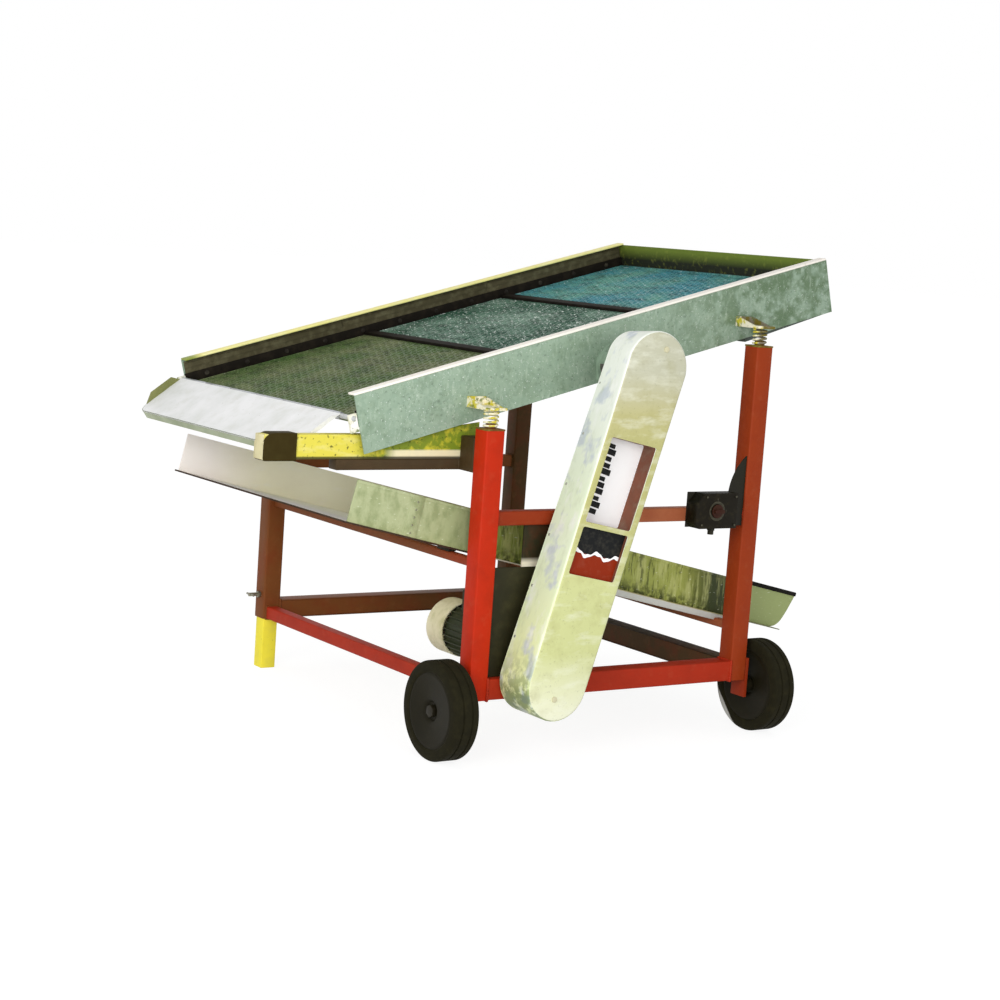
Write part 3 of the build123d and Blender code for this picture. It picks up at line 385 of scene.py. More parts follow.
def frame_enamel(name, colour, second=None, change=None, far=None):
    """Alkyd enamel on the frame's tube: it may change colour along one axis, and is painted brown towards the
    far side as painted shade.
    """
    layers = [(second, span(*change))] if second else []
    # painted shade: far browns the frame's far side in place of its shadow
    if far:
        layers.append((far, span("Y", -0.52, -0.20)))
    layers += [
        ("#7d200a", patches(80, 0.45, 0.8), 0.35),
        ("#b9805c", patches(30, 0.55, 0.9, 6.0), 0.12),
        ("#2b1a12", patches(6, 0.70, 0.74, 5.0), 0.7),
    ]
    return make_finish(name, colour, layers, (5, 0.25), 0.55, ior=1.25)


def hot_dip_galvanised(name, colour, crystal, moss, glints, moss_place=None):
    """Hot-dip galvanised steel, weathered: frosted zinc crystals, pale streaks, white specks of painted
    glint, moss in the wet.
    """
    def crystals(tree, place):
        cells = add_node(tree, "ShaderNodeTexVoronoi", {"Scale": 1 / (13 * MM)}, {"Vector": place})
        return add_node(tree, "ShaderNodeRGBToBW", links={0: cells.outputs["Color"]}).outputs[0]

    layers = [(crystal, crystals, 0.6), (moss, patches(60, 0.5, 0.8, 6.0), 0.5)]
    if moss_place:
        layers.append((moss, both(span(*moss_place), patches(48, 0.42, 0.56, 9.0)), 0.8))
    layers += [
        ("#4f6350", patches(9, 0.58, 0.68, 6.0), 0.5),
        ("#c3d3c0", patches(12, 0.56, 0.7, 5.0, (1, 1, 0.45)), 0.3),
        # painted highlight: small white glints
        ("#eef4ef", patches(5, 0.63, 0.70, 6.0), glints),
    ]
    return make_finish(name, colour, layers, (9, 0.2), 0.55, 0.15)


def drawn_wire(name, colour, second, glint, glint_cover, glint_size, glint_start):
    """Drawn high-carbon wire, woven and pressed flat: dull where wet sand lies, with painted glints."""
    layers = [
        (second, patches(170, 0.40, 0.62, 5.0)),
        ("#0e1710", patches(30, 0.45, 0.7, 6.0, (1, 0.45, 1)), 0.6),
        # painted highlight: white glints on the wire
        (glint, patches(glint_size, glint_start, glint_start + 0.09, 5.0), glint_cover),
    ]
    return make_finish(name, colour, layers, (4, 0.15), 0.5, 0.15)


def moulded_rubber(name, colour, dust="#7d745c", dust_cover=0.18, roughness=0.72, pale_band_centre=None):
    """Natural rubber moulded with carbon black: matt, a grey bloom, dried mud; a wheel may have a pale band
    on its shoulder.
    """
    layers = [(dust, patches(26, 0.45, 0.8, 6.0), dust_cover)]
    # a pale band on the tyre's shoulder on its -x side, towards the back and bottom
    if pale_band_centre is not None:
        way = Vector((0, 0.75, -0.66))
        reach = pale_band_centre.dot(way)
        tread = span(way, reach + 0.114, reach + 0.118)
        layers.append(("#cfcfca", both(tread, span("X", pale_band_centre.x - 0.028, pale_band_centre.x - 0.034)), 0.9))
    return make_finish(name, colour, layers, (2.5, 0.15), roughness, ior=1.2)


def zinc_plate(name, colour):
    """Bright zinc plate on steel fasteners and rods: a cool low gloss with dull spots."""
    return make_finish(name, colour, [("#6f6b5c", patches(8, 0.5, 0.75, 5.0), 0.5)], (3, 0.05), 0.35, 0.8)


def turned_steel(name, colour):
    """Turned bright steel bar: rings from the tool and a film of oil."""
    # the tool's rings are about 0.2 mm apart, too fine to show, so they are drawn 1.5 mm apart
    rings = (1.5, 0.03, 3.0, (1, 0.1, 1))
    return make_finish(name, colour, [("#4a4336", patches(20, 0.5, 0.8, 5.0), 0.5)], rings, 0.3, 0.9)


def grey_cast_iron(name, colour):
    """Grey iron cast in sand: grainy, with rust in its pores."""
    return make_finish(name, colour, [("#5a3a24", patches(12, 0.52, 0.75, 6.0), 0.5)], (2, 0.4), 0.7, 0.2)


def moulded_plastic(name, colour, roughness=0.55):
    """Glass-filled polyamide from a textured mould: an even fine grain and a dusty film."""
    # the mould's grain is about 0.2 mm, too fine to show, so it is drawn 1.2 mm across
    film = [("#5b5334", patches(18, 0.5, 0.85, 5.0), 0.2)]
    return make_finish(name, colour, film, (1.2, 0.05), roughness, ior=1.22)


def gloss_panel_paint(name, colour, dust_cover):
    """Gloss enamel on a flat panel, faded by weather, with a thin film of dust."""
    film = [("#b9b19a", patches(18, 0.5, 0.85, 5.0), dust_cover)]
    return make_finish(name, colour, film, (8, 0.1), 0.45, ior=1.25)


def guard_front_paint(name):
    """Chalked olive paint on the guard's front: grey at the top, olive by the window, bleached below."""
    return make_finish(name, "#bfba88", [
        ("#c2c2aa", span("Z", 0.98, 1.10)),
        ("#bcba7a", span("Z", 1.02, 0.86)),
        ("#cfd496", span("Z", 0.70, 0.50)),
        ("#eef0d4", span("Z", 0.32, 0.14)),
        ("#98934f", patches(60, 0.5, 0.8, 6.0), 0.4),
        ("#7d7a5a", patches(8, 0.60, 0.72, 6.0), 0.35),
        ("#f6f8ea", patches(40, 0.50, 0.75, 6.0, (0.5, 1, 1.6)), 0.4),
    ], (6, 0.2), 0.6, ior=1.35)


def guard_side_paint(name):
    """Pale mint paint on the guard's bent edge, paler than the front partly as painted light: chalky, rubbed
    bluish in a patch and dirty at the foot.
    """
    return make_finish(name, "#e9f2b4", [
        ("#e8f5d6", span("Z", 0.30, 0.62)),
        ("#eef3e8", span("Z", 0.75, 1.0)),
        ("#c3ccd6", patches(95, 0.54, 0.64, 3.0), 0.75),
        ("#b4bf9a", patches(30, 0.52, 0.8, 6.0, (1, 1, 0.4)), 0.45),
        ("#fbfdf8", patches(40, 0.52, 0.72, 5.0, (1, 1, 0.5)), 0.6),
        ("#4d6820", both(patches(34, 0.40, 0.52, 6.0), span("Z", 0.33, 0.20)), 0.7),
    ], (6, 0.2), 0.55, ior=1.35)


def chute_near_paint(name):
    """Pale green paint on a rolled steel wall: scratched at the open end, run with silt further down, with
    painted shadows by the posts and a painted highlight on the spout.
    """
    floor = CHUTE.translation.dot(above_chute)
    wet = both(span("X", -0.25, -0.18), span("X", 0.72, 0.62))
    silt = both(span(above_chute, floor + 0.045, floor + 0.008), patches(20, 0.42, 0.55, 8.0))
    runs = [
        ("#c6cb84", patches(16, 0.48, 0.62, 5.0, (1, 1, 0.16)), 0.6),
        ("#3c4416", patches(11, 0.54, 0.64, 6.0, (1, 1, 0.2)), 0.7),
    ]
    return make_finish(name, "#adb58a", [
        ("#a2ab7c", span("X", -0.50, -0.33)),
        ("#7f8c5c", patches(22, 0.44, 0.62, 8.0, (0.8, 1, 0.5)), 0.6),
        # painted shadow: a dark band beside the low post
        ("#434a26", span("X", -0.315, -0.285)),
        ("#87953f", span("X", -0.25, -0.20)),
        ("#9da552", span("X", 0.0, 0.25)),
        # painted shade: dark between the high post and the spout
        ("#38421c", span("X", 0.48, 0.60)),
        # painted highlight: the spout paler where its gloss shines
        ("#97a36a", span("X", 0.68, 0.74)),
        (runs, wet),
        ("#343a12", both(silt, wet), 0.9),
        ("#e6edd0", patches(9, 0.62, 0.68, 6.0, (0.5, 1, 1.2)), 0.5),
    ], (30, 1.2, 2.0), 0.55, ior=1.35)


def chute_far_paint(name):
    """Cream enamel inside the chute: rubbed pale by the stream, brown silt towards the spout."""
    return make_finish(name, "#fff8f2", [
        ("#fffae0", span("X", -0.62, -0.42)),
        ("#a39c66", span("X", -0.20, 0.30)),
        ("#5a6034", span("X", 0.66, 0.74)),
        ("#e9dcc6", patches(60, 0.45, 0.8, 6.0, (0.5, 1, 1)), 0.25),
        ("#fffcf6", patches(25, 0.55, 0.8, 6.0, (0.4, 1, 1)), 0.4),
    ], (30, 0.8, 2.0), 0.5, ior=1.35)


def rim_paint(name):
    """Cream enamel on the rims: pinkish white on the near side, painted a sunlit yellow on the far side."""
    return make_finish(name, "#fdf6ec", [
        # painted light: the far rim yellow as if sunlit
        ("#fbf39a", span("Y", -0.1, 0.2)),
        ("#fffdf4", patches(40, 0.45, 0.8, 5.0), 0.35),
        ("#7d8f2a", both(span("X", -0.655, -0.69), span("Y", 0.3, 0.5)), 0.9),
        ("#8a8f3e", patches(14, 0.62, 0.74, 6.0), 0.4),
    ], (6, 0.15), 0.5, ior=1.35)


def handle_paint(name):
    """Yellow enamel on the handle: worn pale on top, mossy where the deck drips, pale along its foot, with
    painted shade along its lowest part.
    """
    return make_finish(name, "#dbcf4c", [
        ("#ece5a4", patches(30, 0.5, 0.7, 4.0, (0.3, 1, 1)), 0.5),
        ("#c6bd34", span("X", -0.66, -0.60)),
        ("#71851f", both(patches(26, 0.34, 0.52, 6.0), span("X", -0.70, -0.60)), 0.95),
        ("#2f3a10", patches(12, 0.58, 0.66, 6.0), 0.8),
        ("#f1e6c0", both(span("Z", 0.852, 0.847), span("X", -0.60, -0.56)), 0.9),
        # painted shade: dark along the bar's lowest part
        ("#1d170a", span("Z", 0.834, 0.830), 0.9),
    ], (7, 0.4), 0.5, ior=1.35)


def moss_green_paint(name):
    """Old green paint on the end plate: moss along its top, and painted shade, near black, below."""
    low, high = (corner.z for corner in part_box("end_plate"))
    # painted shade: dark below, for the shade deep in the deck; moss green towards the top
    return make_finish(name, "#23261a", [
        ("#6f8030", span("Z", low + (high - low) * 0.62, high - 0.012)),
        ("#a3a94a", patches(20, 0.55, 0.75, 6.0), 0.4),
    ], (10, 0.8), 0.65, ior=1.3)


def bracket_paint(name, cream, yellow):
    """Cream enamel on brackets, lugs and springs: flaking, yellow moss in corners, a painted shadow at the
    feed end.
    """
    return make_finish(name, cream, [
        (yellow, patches(26, 0.48, 0.58, 5.0)),
        # painted shadow: dark behind the feed-end spring bracket
        ("#3a2a14", span("X", 0.598, 0.604), 0.8),
        ("#56691f", patches(17, 0.54, 0.62, 6.0), 0.8),
    ], (8, 0.8), 0.6, ior=1.35)


# ---------------------------------------------------------------- settings

class WASHSCREEN_PG_colours(bpy.types.PropertyGroup):
    """Colours of the machine's paints."""

    frame_red: bpy.props.FloatVectorProperty(
        name="Frame red", description="Enamel of the frame at the discharge end", subtype="COLOR",
        size=4, min=0, max=1, default=linear("#bb2806"),
    )
    # painted shade: the feed-end post is the frame red painted darker for its shade
    frame_shaded_red: bpy.props.FloatVectorProperty(
        name="Painted shade frame red", description="Enamel of the frame at the feed end", subtype="COLOR",
        size=4, min=0, max=1, default=linear("#93350f"),
    )
    # painted shade: the frame's far side takes this brown in place of its shadow
    frame_shade: bpy.props.FloatVectorProperty(
        name="Far frame brown", description="Enamel of the frame on the far side", subtype="COLOR",
        size=4, min=0, max=1, default=linear("#74421c"),
    )
    galvanised: bpy.props.FloatVectorProperty(
        name="Galvanised plate", description="Zinc of the deck's side plates", subtype="COLOR",
        size=4, min=0, max=1, default=linear("#96ab95"),
    )


class WASHSCREEN_PG_sizes(bpy.types.PropertyGroup):
    """Sizes of visible detail."""

    wire_pitch: bpy.props.FloatProperty(
        name="Wire pitch", description="Distance between the screen's wires", unit="LENGTH",
        default=0.011, min=0.005, max=0.05,
    )
    # wire cloth has wire of 2 to 3 mm at this pitch, too fine to show, so it is drawn as coarse as shows
    wire_size: bpy.props.FloatProperty(
        name="Wire size", description="Diameter of the screen's wires", unit="LENGTH",
        default=0.005, min=0.001, max=0.01,
    )
    tube_corner: bpy.props.FloatProperty(
        name="Tube corner", description="Outer corner radius of the square tubes", unit="LENGTH",
        default=0.005, min=0.0005, max=0.01,
    )
    weld_size: bpy.props.FloatProperty(
        name="Weld bead", description="Radius of the weld beads on the frame", unit="LENGTH",
        default=0.0045, min=0.001, max=0.008,
    )
    guard_corner: bpy.props.FloatProperty(
        name="Guard corner", description="Bend radius of the belt guard's front edge", unit="LENGTH",
        default=0.009, min=0.004, max=0.03,
    )


# ---------------------------------------------------------------- operators

class WASHSCREEN_OT_stage(bpy.types.Operator):
    """Floor, light and camera"""

    bl_idname = "washscreen.stage"
    bl_label = "Stage"

    def execute(self, context):
        scene = context.scene
        camera = bpy.data.cameras.new("camera")
        camera.lens = 76.09
        camera.sensor_width = 36
        camera.clip_end = 200
        holder = bpy.data.objects.new("camera", camera)
        scene.collection.objects.link(holder)
        azimuth, elevation, roll = (math.radians(angle) for angle in (-34.627, 7.307, 4.020))
        level = math.cos(elevation)
        right = Vector((math.cos(azimuth), math.sin(azimuth), 0))
        back = Vector((math.sin(azimuth) * level, -math.cos(azimuth) * level, math.sin(elevation)))
        up = back.cross(right)
        x_dir = right * math.cos(roll) + up * math.sin(roll)
        y_dir = -right * math.sin(roll) + up * math.cos(roll)
        holder.matrix_world = basis((-3.5616, -5.2891, 1.4642), x_dir, y_dir)
        scene.camera = holder

        bm = bmesh.new()
        bmesh.ops.create_grid(bm, x_segments=8, y_segments=8, size=60.0)
        mesh = bpy.data.meshes.new("floor")
        bm.to_mesh(mesh)
        bm.free()
        floor = bpy.data.objects.new("floor", mesh)
        scene.collection.objects.link(floor)
        mesh.materials.append(self.floor_finish())

        world = bpy.data.worlds.new("studio")
        scene.world = world
        world.use_nodes = True
        tree = world.node_tree
        background = tree.nodes["Background"]
        background.inputs["Color"].default_value = (1, 1, 1, 1)
        levels = {"To Min": 0.62, "To Max": 1.0}
        strength = add_node(tree, "ShaderNodeMapRange", levels, {"Value": self.seen_directly(tree)})
        tree.links.new(strength.outputs[0], background.inputs["Strength"])

        aim = Vector((0, 0, 0.7))
        for name, place, power, size in (
            ("key", (-5.6, -4.4, 2.5), 230.0, 3.0),
            ("fill", (-1.2, -6.6, 1.1), 110.0, 3.5),
        ):
            light = bpy.data.lights.new(name, "AREA")
            light.energy = power
            light.size = size
            lamp = bpy.data.objects.new(name, light)
            scene.collection.objects.link(lamp)
            lamp.matrix_world = facing(place, Vector(place) - aim)
        scene.view_settings.view_transform = "Standard"
        return {"FINISHED"}

    @staticmethod
    def seen_directly(tree):
        """1 for rays from the camera or through gloss and glass."""
        path = add_node(tree, "ShaderNodeLightPath").outputs
        seen = path["Is Camera Ray"]
        for ray in ("Is Glossy Ray", "Is Transmission Ray"):
            sources = {0: seen, 1: path[ray]}
            seen = add_node(tree, "ShaderNodeMath", {"operation": "MAXIMUM"}, sources).outputs[0]
        return seen

    def floor_finish(self):
        """Matt white floor whose own glow for the camera lifts it to white and leaves the shadow."""
        material = bpy.data.materials.new("matt_white_floor")
        material.use_nodes = True
        tree = material.node_tree
        tree.nodes.clear()
        matt = add_node(tree, "ShaderNodeBsdfDiffuse", {"Color": (0.8, 0.8, 0.8, 1)})
        glow = add_node(tree, "ShaderNodeEmission", {"Strength": 1.22})
        part = {"operation": "MULTIPLY", 1: 0.72}
        share = add_node(tree, "ShaderNodeMath", part, {0: self.seen_directly(tree)}).outputs[0]
        sources = {0: share, 1: matt.outputs[0], 2: glow.outputs[0]}
        mixed = add_node(tree, "ShaderNodeMixShader", links=sources)
        add_node(tree, "ShaderNodeOutputMaterial", links={"Surface": mixed.outputs[0]})
        return material


class WASHSCREEN_OT_frame(bpy.types.Operator):
    """Posts and rails in square tube, with their weld beads"""

    bl_idname = "washscreen.frame"
    bl_label = "Frame"

    def execute(self, context):
        colours = context.scene.washscreen_colours
        sizes = context.scene.washscreen_sizes
        shade = tuple(colours.frame_shade)
        enamels = {
            "post_near_low": frame_enamel("red_enamel", tuple(colours.frame_red)),
            # painted shade: a darker copy of the frame red on the feed-end post
            "post_near_high": frame_enamel("shaded_red_enamel", tuple(colours.frame_shaded_red)),
            # painted shade: the far posts are brown in place of their shadow, and darker still towards the
            # feed end
            "far_posts": frame_enamel("painted_shade_brown_enamel", shade, "#47300f", ("X", 0.0, 0.5)),
            # painted shade: the mid rails turn brown towards the far side
            "mid_rails": frame_enamel("mid_rail_enamel", "#8c3010", "#a8603e", ("X", 0.0, 0.15), shade),
        }
        corner = sizes.tube_corner / MM
        for node, enamel in enamels.items():
            refine(node, enamel, corner, 100)
        rails = [frame_enamel("rail_red_enamel", "#a82c12"), enamels["far_posts"]]

        # painted shade: faces on the far side, and the cross rail at the feed end, take the far posts' brown
        def shaded(spot):
            return spot.y > FAR_Y - 0.05 or (spot.x > 0.58 and spot.y > NEAR_Y - 0.04)

        choose(refine("bottom_rails", rails, corner, 100), 1, shaded)
        refine("spring_seats", alkyd_enamel("spring_seat_enamel", "#6b3b18", "#6f7424", "#c9c060", 0.4))
        choose(self.weld_beads(rails, sizes.weld_size / MM), 1, shaded)
        return {"FINISHED"}

    @staticmethod
    def weld_beads(finishes, size):
        """A rippled bead round each rail's end, where it meets a post."""
        near_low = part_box("post_near_low")
        near_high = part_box("post_near_high")
        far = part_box("far_posts")
        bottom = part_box("bottom_rails")[0].z
        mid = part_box("mid_rails")[1].z
        # half the height of the bottom rails, and of the mid and lower cross rails
        tall, slim = 30.0, 20.0
        ends = []
        for y in ((near_low[0].y + near_low[1].y) / 2, far[1].y - (near_low[1].y - near_low[0].y) / 2):
            for x, out in ((near_low[1].x, 1), (near_high[0].x, -1)):
                ends.append(((x, y, bottom + tall * MM), (out, 0, 0), tall))
                ends.append(((x, y, mid - slim * MM), (out, 0, 0), slim))
        for post, half in ((near_low, slim), (near_high, tall)):
            for y, out in ((near_low[1].y, 1), (far[0].y, -1)):
                ends.append((((post[0].x + post[1].x) / 2, y, bottom + half * MM), (0, out, 0), half))
        steps = 26
        bm = bmesh.new()
        for seed, (origin, direction, half) in enumerate(ends):
            rings = []
            for i in range(4 * steps):
                side, step = divmod(i, steps)
                run = -half + 2 * half * step / steps
                a, b = [(run, -half), (half, run), (-run, half), (-half, -run)][side]
                ripple = 0.18 * math.sin(i * 1.9) + 0.25 * noise.noise((i * 0.35, seed * 7.1, 0.0))
                out = Vector((a, b)).normalized()
                rings.append([(a + out.x * c, b + out.y * c, s) for c, s in circle(size * (1.0 + ripple), 6)])
            skin(bm, facing(origin, direction), rings, loop=True)
        for v in bm.verts:
            v.co.y = min(v.co.y, far[1].y)
        return make_piece("weld_beads", bm, "frame", finishes, smooth=80)


class WASHSCREEN_OT_springs(bpy.types.Operator):
    """Coil springs between the posts and the deck"""

    bl_idname = "washscreen.springs"
    bl_label = "Springs"

    def execute(self, context):
        enamel = bracket_paint("flaking_spring_enamel", "#f2ecd2", "#d6c73c")
        # radius of the wire, turns, steps in a turn, and the closed part of a turn at each end with its rise
        wire, turns, steps, closed = 3.0, 4.5, 28, 0.75
        closed_rise = wire * 1.6
        for node in ("springs_low", "springs_high"):
            low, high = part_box(node)
            x = (low.x + high.x) / 2
            radius = (high.x - low.x) / MM / 2 - wire
            open_rise = (high.z - low.z) / MM - 2 * wire - 2 * closed_rise
            points = []
            for i in range(int(turns * steps) + 1):
                turn = i / steps
                share = min(max((turn - closed) / (turns - 2 * closed), 0.0), 1.0)
                ends = min(turn / closed, 1.0) + max(turn - turns + closed, 0) / closed
                angle = turn * math.tau
                height = wire + closed_rise * ends + open_rise * share
                points.append((radius * math.cos(angle), radius * math.sin(angle), height))
            bm = bmesh.new()
            for y in (low.y + (radius + wire) * MM, high.y - (radius + wire) * MM):
                follow(bm, Matrix.Translation((x, y, low.z)), points, circle(wire, 10))
            make_piece(
                node + "_coils", bm, None, enamel, [node], smooth=60,
                stretch=((x, low.y, low.z), (x, low.y, high.z)),
            )
        return {"FINISHED"}


class WASHSCREEN_OT_deck(bpy.types.Operator):
    """Side plates, rims, end plate and what carries the screens"""

    bl_idname = "washscreen.deck"
    bl_label = "Deck"

    def execute(self, context):
        zinc = tuple(context.scene.washscreen_colours.galvanised)
        plate = hot_dip_galvanised("galvanised_plate", zinc, "#7f9783", "#4f6a44", 0.7, ("X", 0.25, 0.66))
        dark_zinc = hot_dip_galvanised("galvanised_angle", "#4c5650", "#39423c", "#3c4a28", 0.15)
        for node, enamel, width in (
            ("side_plate_near", plate, 1.2),
            ("side_plate_far", plate, 1.2),
            ("rim_strips", rim_paint("cream_rim_enamel"), 2.0),
            ("end_plate", moss_green_paint("moss_green_and_painted_shade_paint"), 1.0),
            ("support_frame", dark_zinc, 2.0),
            # the hold-down bars' black is partly their rubber and partly painted shade along the screens'
            # edges
            ("hold_down_bars", moulded_rubber("hold_down_rubber", "#17130e", "#4a4032", 0.25), 2.0),
        ):
            refine(node, enamel, width)
        # painted shade: dark sheets on the plates' inner faces, in place of their shadow
        self.linings(moulded_rubber("painted_shade_lining_rubber", "#524d38", "#8a8768", 0.5))
        self.clamp_bolts(alkyd_enamel("shade_dark_bolt_enamel", "#1d1812"))
        self.end_angle(dark_zinc)
        return {"FINISHED"}

    @staticmethod
    def linings(rubber):
        """Dark rubber sheets on the inner faces of the side plates, each held by a flat strip along its top:
        painted shade for those faces.
        """
        bm = bmesh.new()
        top, bottom, length, plate = -12.0, -49.0, 564, 4.2
        for y, inward in ((plate, 1), (DECK_WIDTH - plate, -1)):
            sheet = sorted((y, y + inward * 5))
            strip = sorted((y + inward * 5, y + inward * 8))
            for start in (4, 4 + length, 4 + 2 * length):
                end = start + length
                add_box(bm, DECK, (start, sheet[0], bottom), (end - 0.4, sheet[1], top), 0.6)
                add_box(bm, DECK, (start + 2, strip[0], top - 22), (end - 2, strip[1], top - 6), 0.8)
        make_piece("painted_shade_side_linings", bm, "deck", rubber)

    @staticmethod
    def clamp_bolts(enamel):
        """Bolts that pull the hold-down bars on to the screens, painted as dark as the shade they sit in."""
        bm = bmesh.new()
        first, pitch, inset, rise = 70, 141.5, 16.2, 15
        for i in range(12):
            for y, inward in ((inset, 1), (DECK_WIDTH - inset, -1)):
                spot = at(DECK, first + i * pitch, y, rise - SCREEN_DEPTH)
                add_bolt(bm, facing(spot, (0, inward, 0)), 6.0)
        make_piece("hold_down_bolts", bm, "deck", enamel)

    @staticmethod
    def end_angle(zinc):
        """A dark angle under the near plate at the feed end, which stiffens the deck's corner."""
        bm = bmesh.new()
        for end, low, end_low, high, sides in ((1696, -1, -1, 14, (5, 9)), (1690, -14, -2, 3, (9, 46))):
            outline = [(1352, low), (end, end_low), (end, high), (1352, high)]
            skin(bm, DECK, [[(x, y, z - PLATE_DEPTH) for x, z in outline] for y in sides], caps=True)
        make_piece("plate_end_angle", bm, "deck", zinc)


class WASHSCREEN_OT_screens(bpy.types.Operator):
    """Three woven-wire screen panels"""

    bl_idname = "washscreen.screens"
    bl_label = "Screens"

    def execute(self, context):
        sizes = context.scene.washscreen_sizes
        olive = drawn_wire("olive_wire", "#526d38", "#747d55", "#b7bba2", 0.5, 7, 0.60)
        grey_green = drawn_wire("grey_green_wire", "#33604a", "#7c9a88", "#f4faf4", 0.9, 10, 0.575)
        teal = drawn_wire("teal_wire", "#48929e", "#68a496", "#dff2f4", 0.6, 14, 0.60)
        for node, wire, start, end in (
            ("screen_low", olive, 1, 654),
            ("screen_mid", grey_green, 656, 1189),
            ("screen_high", teal, 1191, 1695),
        ):
            self.panel(node, wire, start, end, sizes.wire_pitch / MM, sizes.wire_size / MM / 2)
        return {"FINISHED"}

    @staticmethod
    def panel(node, finish, start, end, pitch, radius):
        """Wires crimped over and under each other, inside a border of flat bar."""
        bm = bmesh.new()
        gap, bar, hold = 6.0, 12.0, 4.0
        left, right = gap, DECK_WIDTH - gap
        spaced = []
        for low, high in ((start + hold, end - hold), (left + hold, right - hold)):
            count = int((high - low) / pitch)
            spaced.append([low + (high - low) * (i + 0.5) / count for i in range(count)])
        middle, crimp = -SCREEN_DEPTH - radius * 1.05, radius * 0.55
        section = circle(radius, 4, 0.5)
        for way, side in ((0, crimp), (1, -crimp)):
            for i, place in enumerate(spaced[way]):
                rings = []
                for k, crossing in enumerate(spaced[1 - way][::2] + spaced[1 - way][-1:]):
                    z = middle + (side if (i + k) % 2 else -side)
                    ring = [(place + a, crossing, z + b) for a, b in section]
                    rings.append([(y, x, z) for x, y, z in ring] if way else ring)
                skin(bm, DECK, rings)
        bottom, top = -SCREEN_DEPTH - 7.8, -SCREEN_DEPTH - 0.2
        for x0, x1, y0, y1 in (
            (start, start + bar, left, right), (end - bar, end, left, right),
            (start + bar, end - bar, left, left + bar), (start + bar, end - bar, right - bar, right),
        ):
            add_box(bm, DECK, (x0, y0, bottom), (x1, y1, top), 1.0)
        make_piece(node + "_mesh", bm, "deck", finish, [node], smooth=50)


class WASHSCREEN_OT_deck_fittings(bpy.types.Operator):
    """Spring brackets, hinge lugs, rod, bearings and bolts on the deck"""

    bl_idname = "washscreen.deck_fittings"
    bl_label = "Deck fittings"

    def execute(self, context):
        for node, enamel, width in (
            ("spring_brackets", bracket_paint("flaking_cream_enamel", "#efe8d0", "#d0c23a"), 1.5),
            ("hinge_lugs", bracket_paint("mossy_lug_enamel", "#f4f2ec", "#e4e2cc"), 1.5),
            ("hinge_rod", zinc_plate("zinc_rod", "#c4c6c6"), 1.0),
            ("bearing_housings", alkyd_enamel("green_bearing_enamel", "#93a994", "#7c917c", "#4a5442"), 1.0),
            ("deck_bolts", zinc_plate("bearing_bolts_zinc", "#9c9b90"), 0.5),
        ):
            refine(node, enamel, width)
        return {"FINISHED"}


class WASHSCREEN_OT_drive(bpy.types.Operator):
    """Eccentric shaft, weights, pulleys and the V-belt"""

    bl_idname = "washscreen.drive"
    bl_label = "Drive"

    def execute(self, context):
        steel = turned_steel("turned_bright_steel", "#9d9a90")
        iron = grey_cast_iron("cast_iron_weights", "#4f4c46")
        for node, metal, width in (
            ("eccentric_shaft", steel, 0.6),
            ("unbalance_weights", iron, 1.5),
            ("shaft_pulley", iron, 0.8),
            ("motor_pulley", iron, 0.8),
            ("motor_shaft_and_fan", steel, 0.5),
        ):
            refine(node, metal, width)
        low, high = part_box("drive_belt")
        middle = (GUARD.translation.y - (low.y + high.y) / 2) / MM
        reach = (SHAFT - MOTOR).xz.length / MM
        # the belt's section: out from the bottoms of the grooves, whose radii are 53 and 33, and across
        flank = [(0.7, 3.9), (4.5, 5.3), (9.4, 5.7), (10.2, 5.0)]
        section = flank + [(out, -across) for out, across in reversed(flank)]
        loops = [capsule(0, 53 + out, -reach, 33 + out, steps=30) for out, _ in section]
        rings = [
            [(*spot, middle + across) for spot, (_, across) in zip(spots, section)] for spots in zip(*loops)
        ]
        bm = bmesh.new()
        skin(bm, GUARD, rings, loop=True)
        make_piece(
            "v_belt", bm, None, moulded_rubber("belt_rubber", "#1b1a18"), ["drive_belt"],
            stretch=((SHAFT.x, low.y, MOTOR.z + 0.045), (SHAFT.x, low.y, SHAFT.z - 0.065)),
        )
        return {"FINISHED"}


GUARD_TOP, GUARD_TOP_RADIUS = 15.0, 85.0
GUARD_BOTTOM, GUARD_BOTTOM_RADIUS = -917.0, 100.0
GUARD_DEPTH, GUARD_SHEET = 134.0, 3.0
GUARD_FRONT = GUARD_DEPTH + GUARD_SHEET
HALF_WAY = -427.5
WINDOW_LEFT, WINDOW_RIGHT, WINDOW_CORNER = -86.0, 74.0, 6.0
WINDOW_SLOPE = 15.0 / (WINDOW_RIGHT - WINDOW_LEFT)
UPPER_WINDOW = (HALF_WAY - 28, HALF_WAY + 216)
LOWER_WINDOW = (HALF_WAY - 178, HALF_WAY - 42)
# how far the inner panel's faces stand out from the back plate, behind each window
UPPER_PANEL, LOWER_PANEL = 79.4, 124.0
# where the head starts to widen, and over what height
FLARE_START, FLARE_RUN = -235, 150


def guard_outline(inset=0.0, steps=20):
    """The guard's outline, drawn in by an inset."""
    return capsule(GUARD_TOP, GUARD_TOP_RADIUS, GUARD_BOTTOM, GUARD_BOTTOM_RADIUS, inset, steps)


def flared(x, y, share):
    """Widens the guard's head towards its front: by 13 mm at the right, 29 at the left and 7 at the top."""
    rise = min(max((y - FLARE_START) / FLARE_RUN, 0), 1)
    rise = rise * rise * (3 - 2 * rise) * share
    out = Vector((x, max(y - GUARD_TOP, 0))).normalized()
    push = rise * (13 + 8 * (1 - out.x) - 14 * out.y)
    return x + out.x * push, y + out.y * push


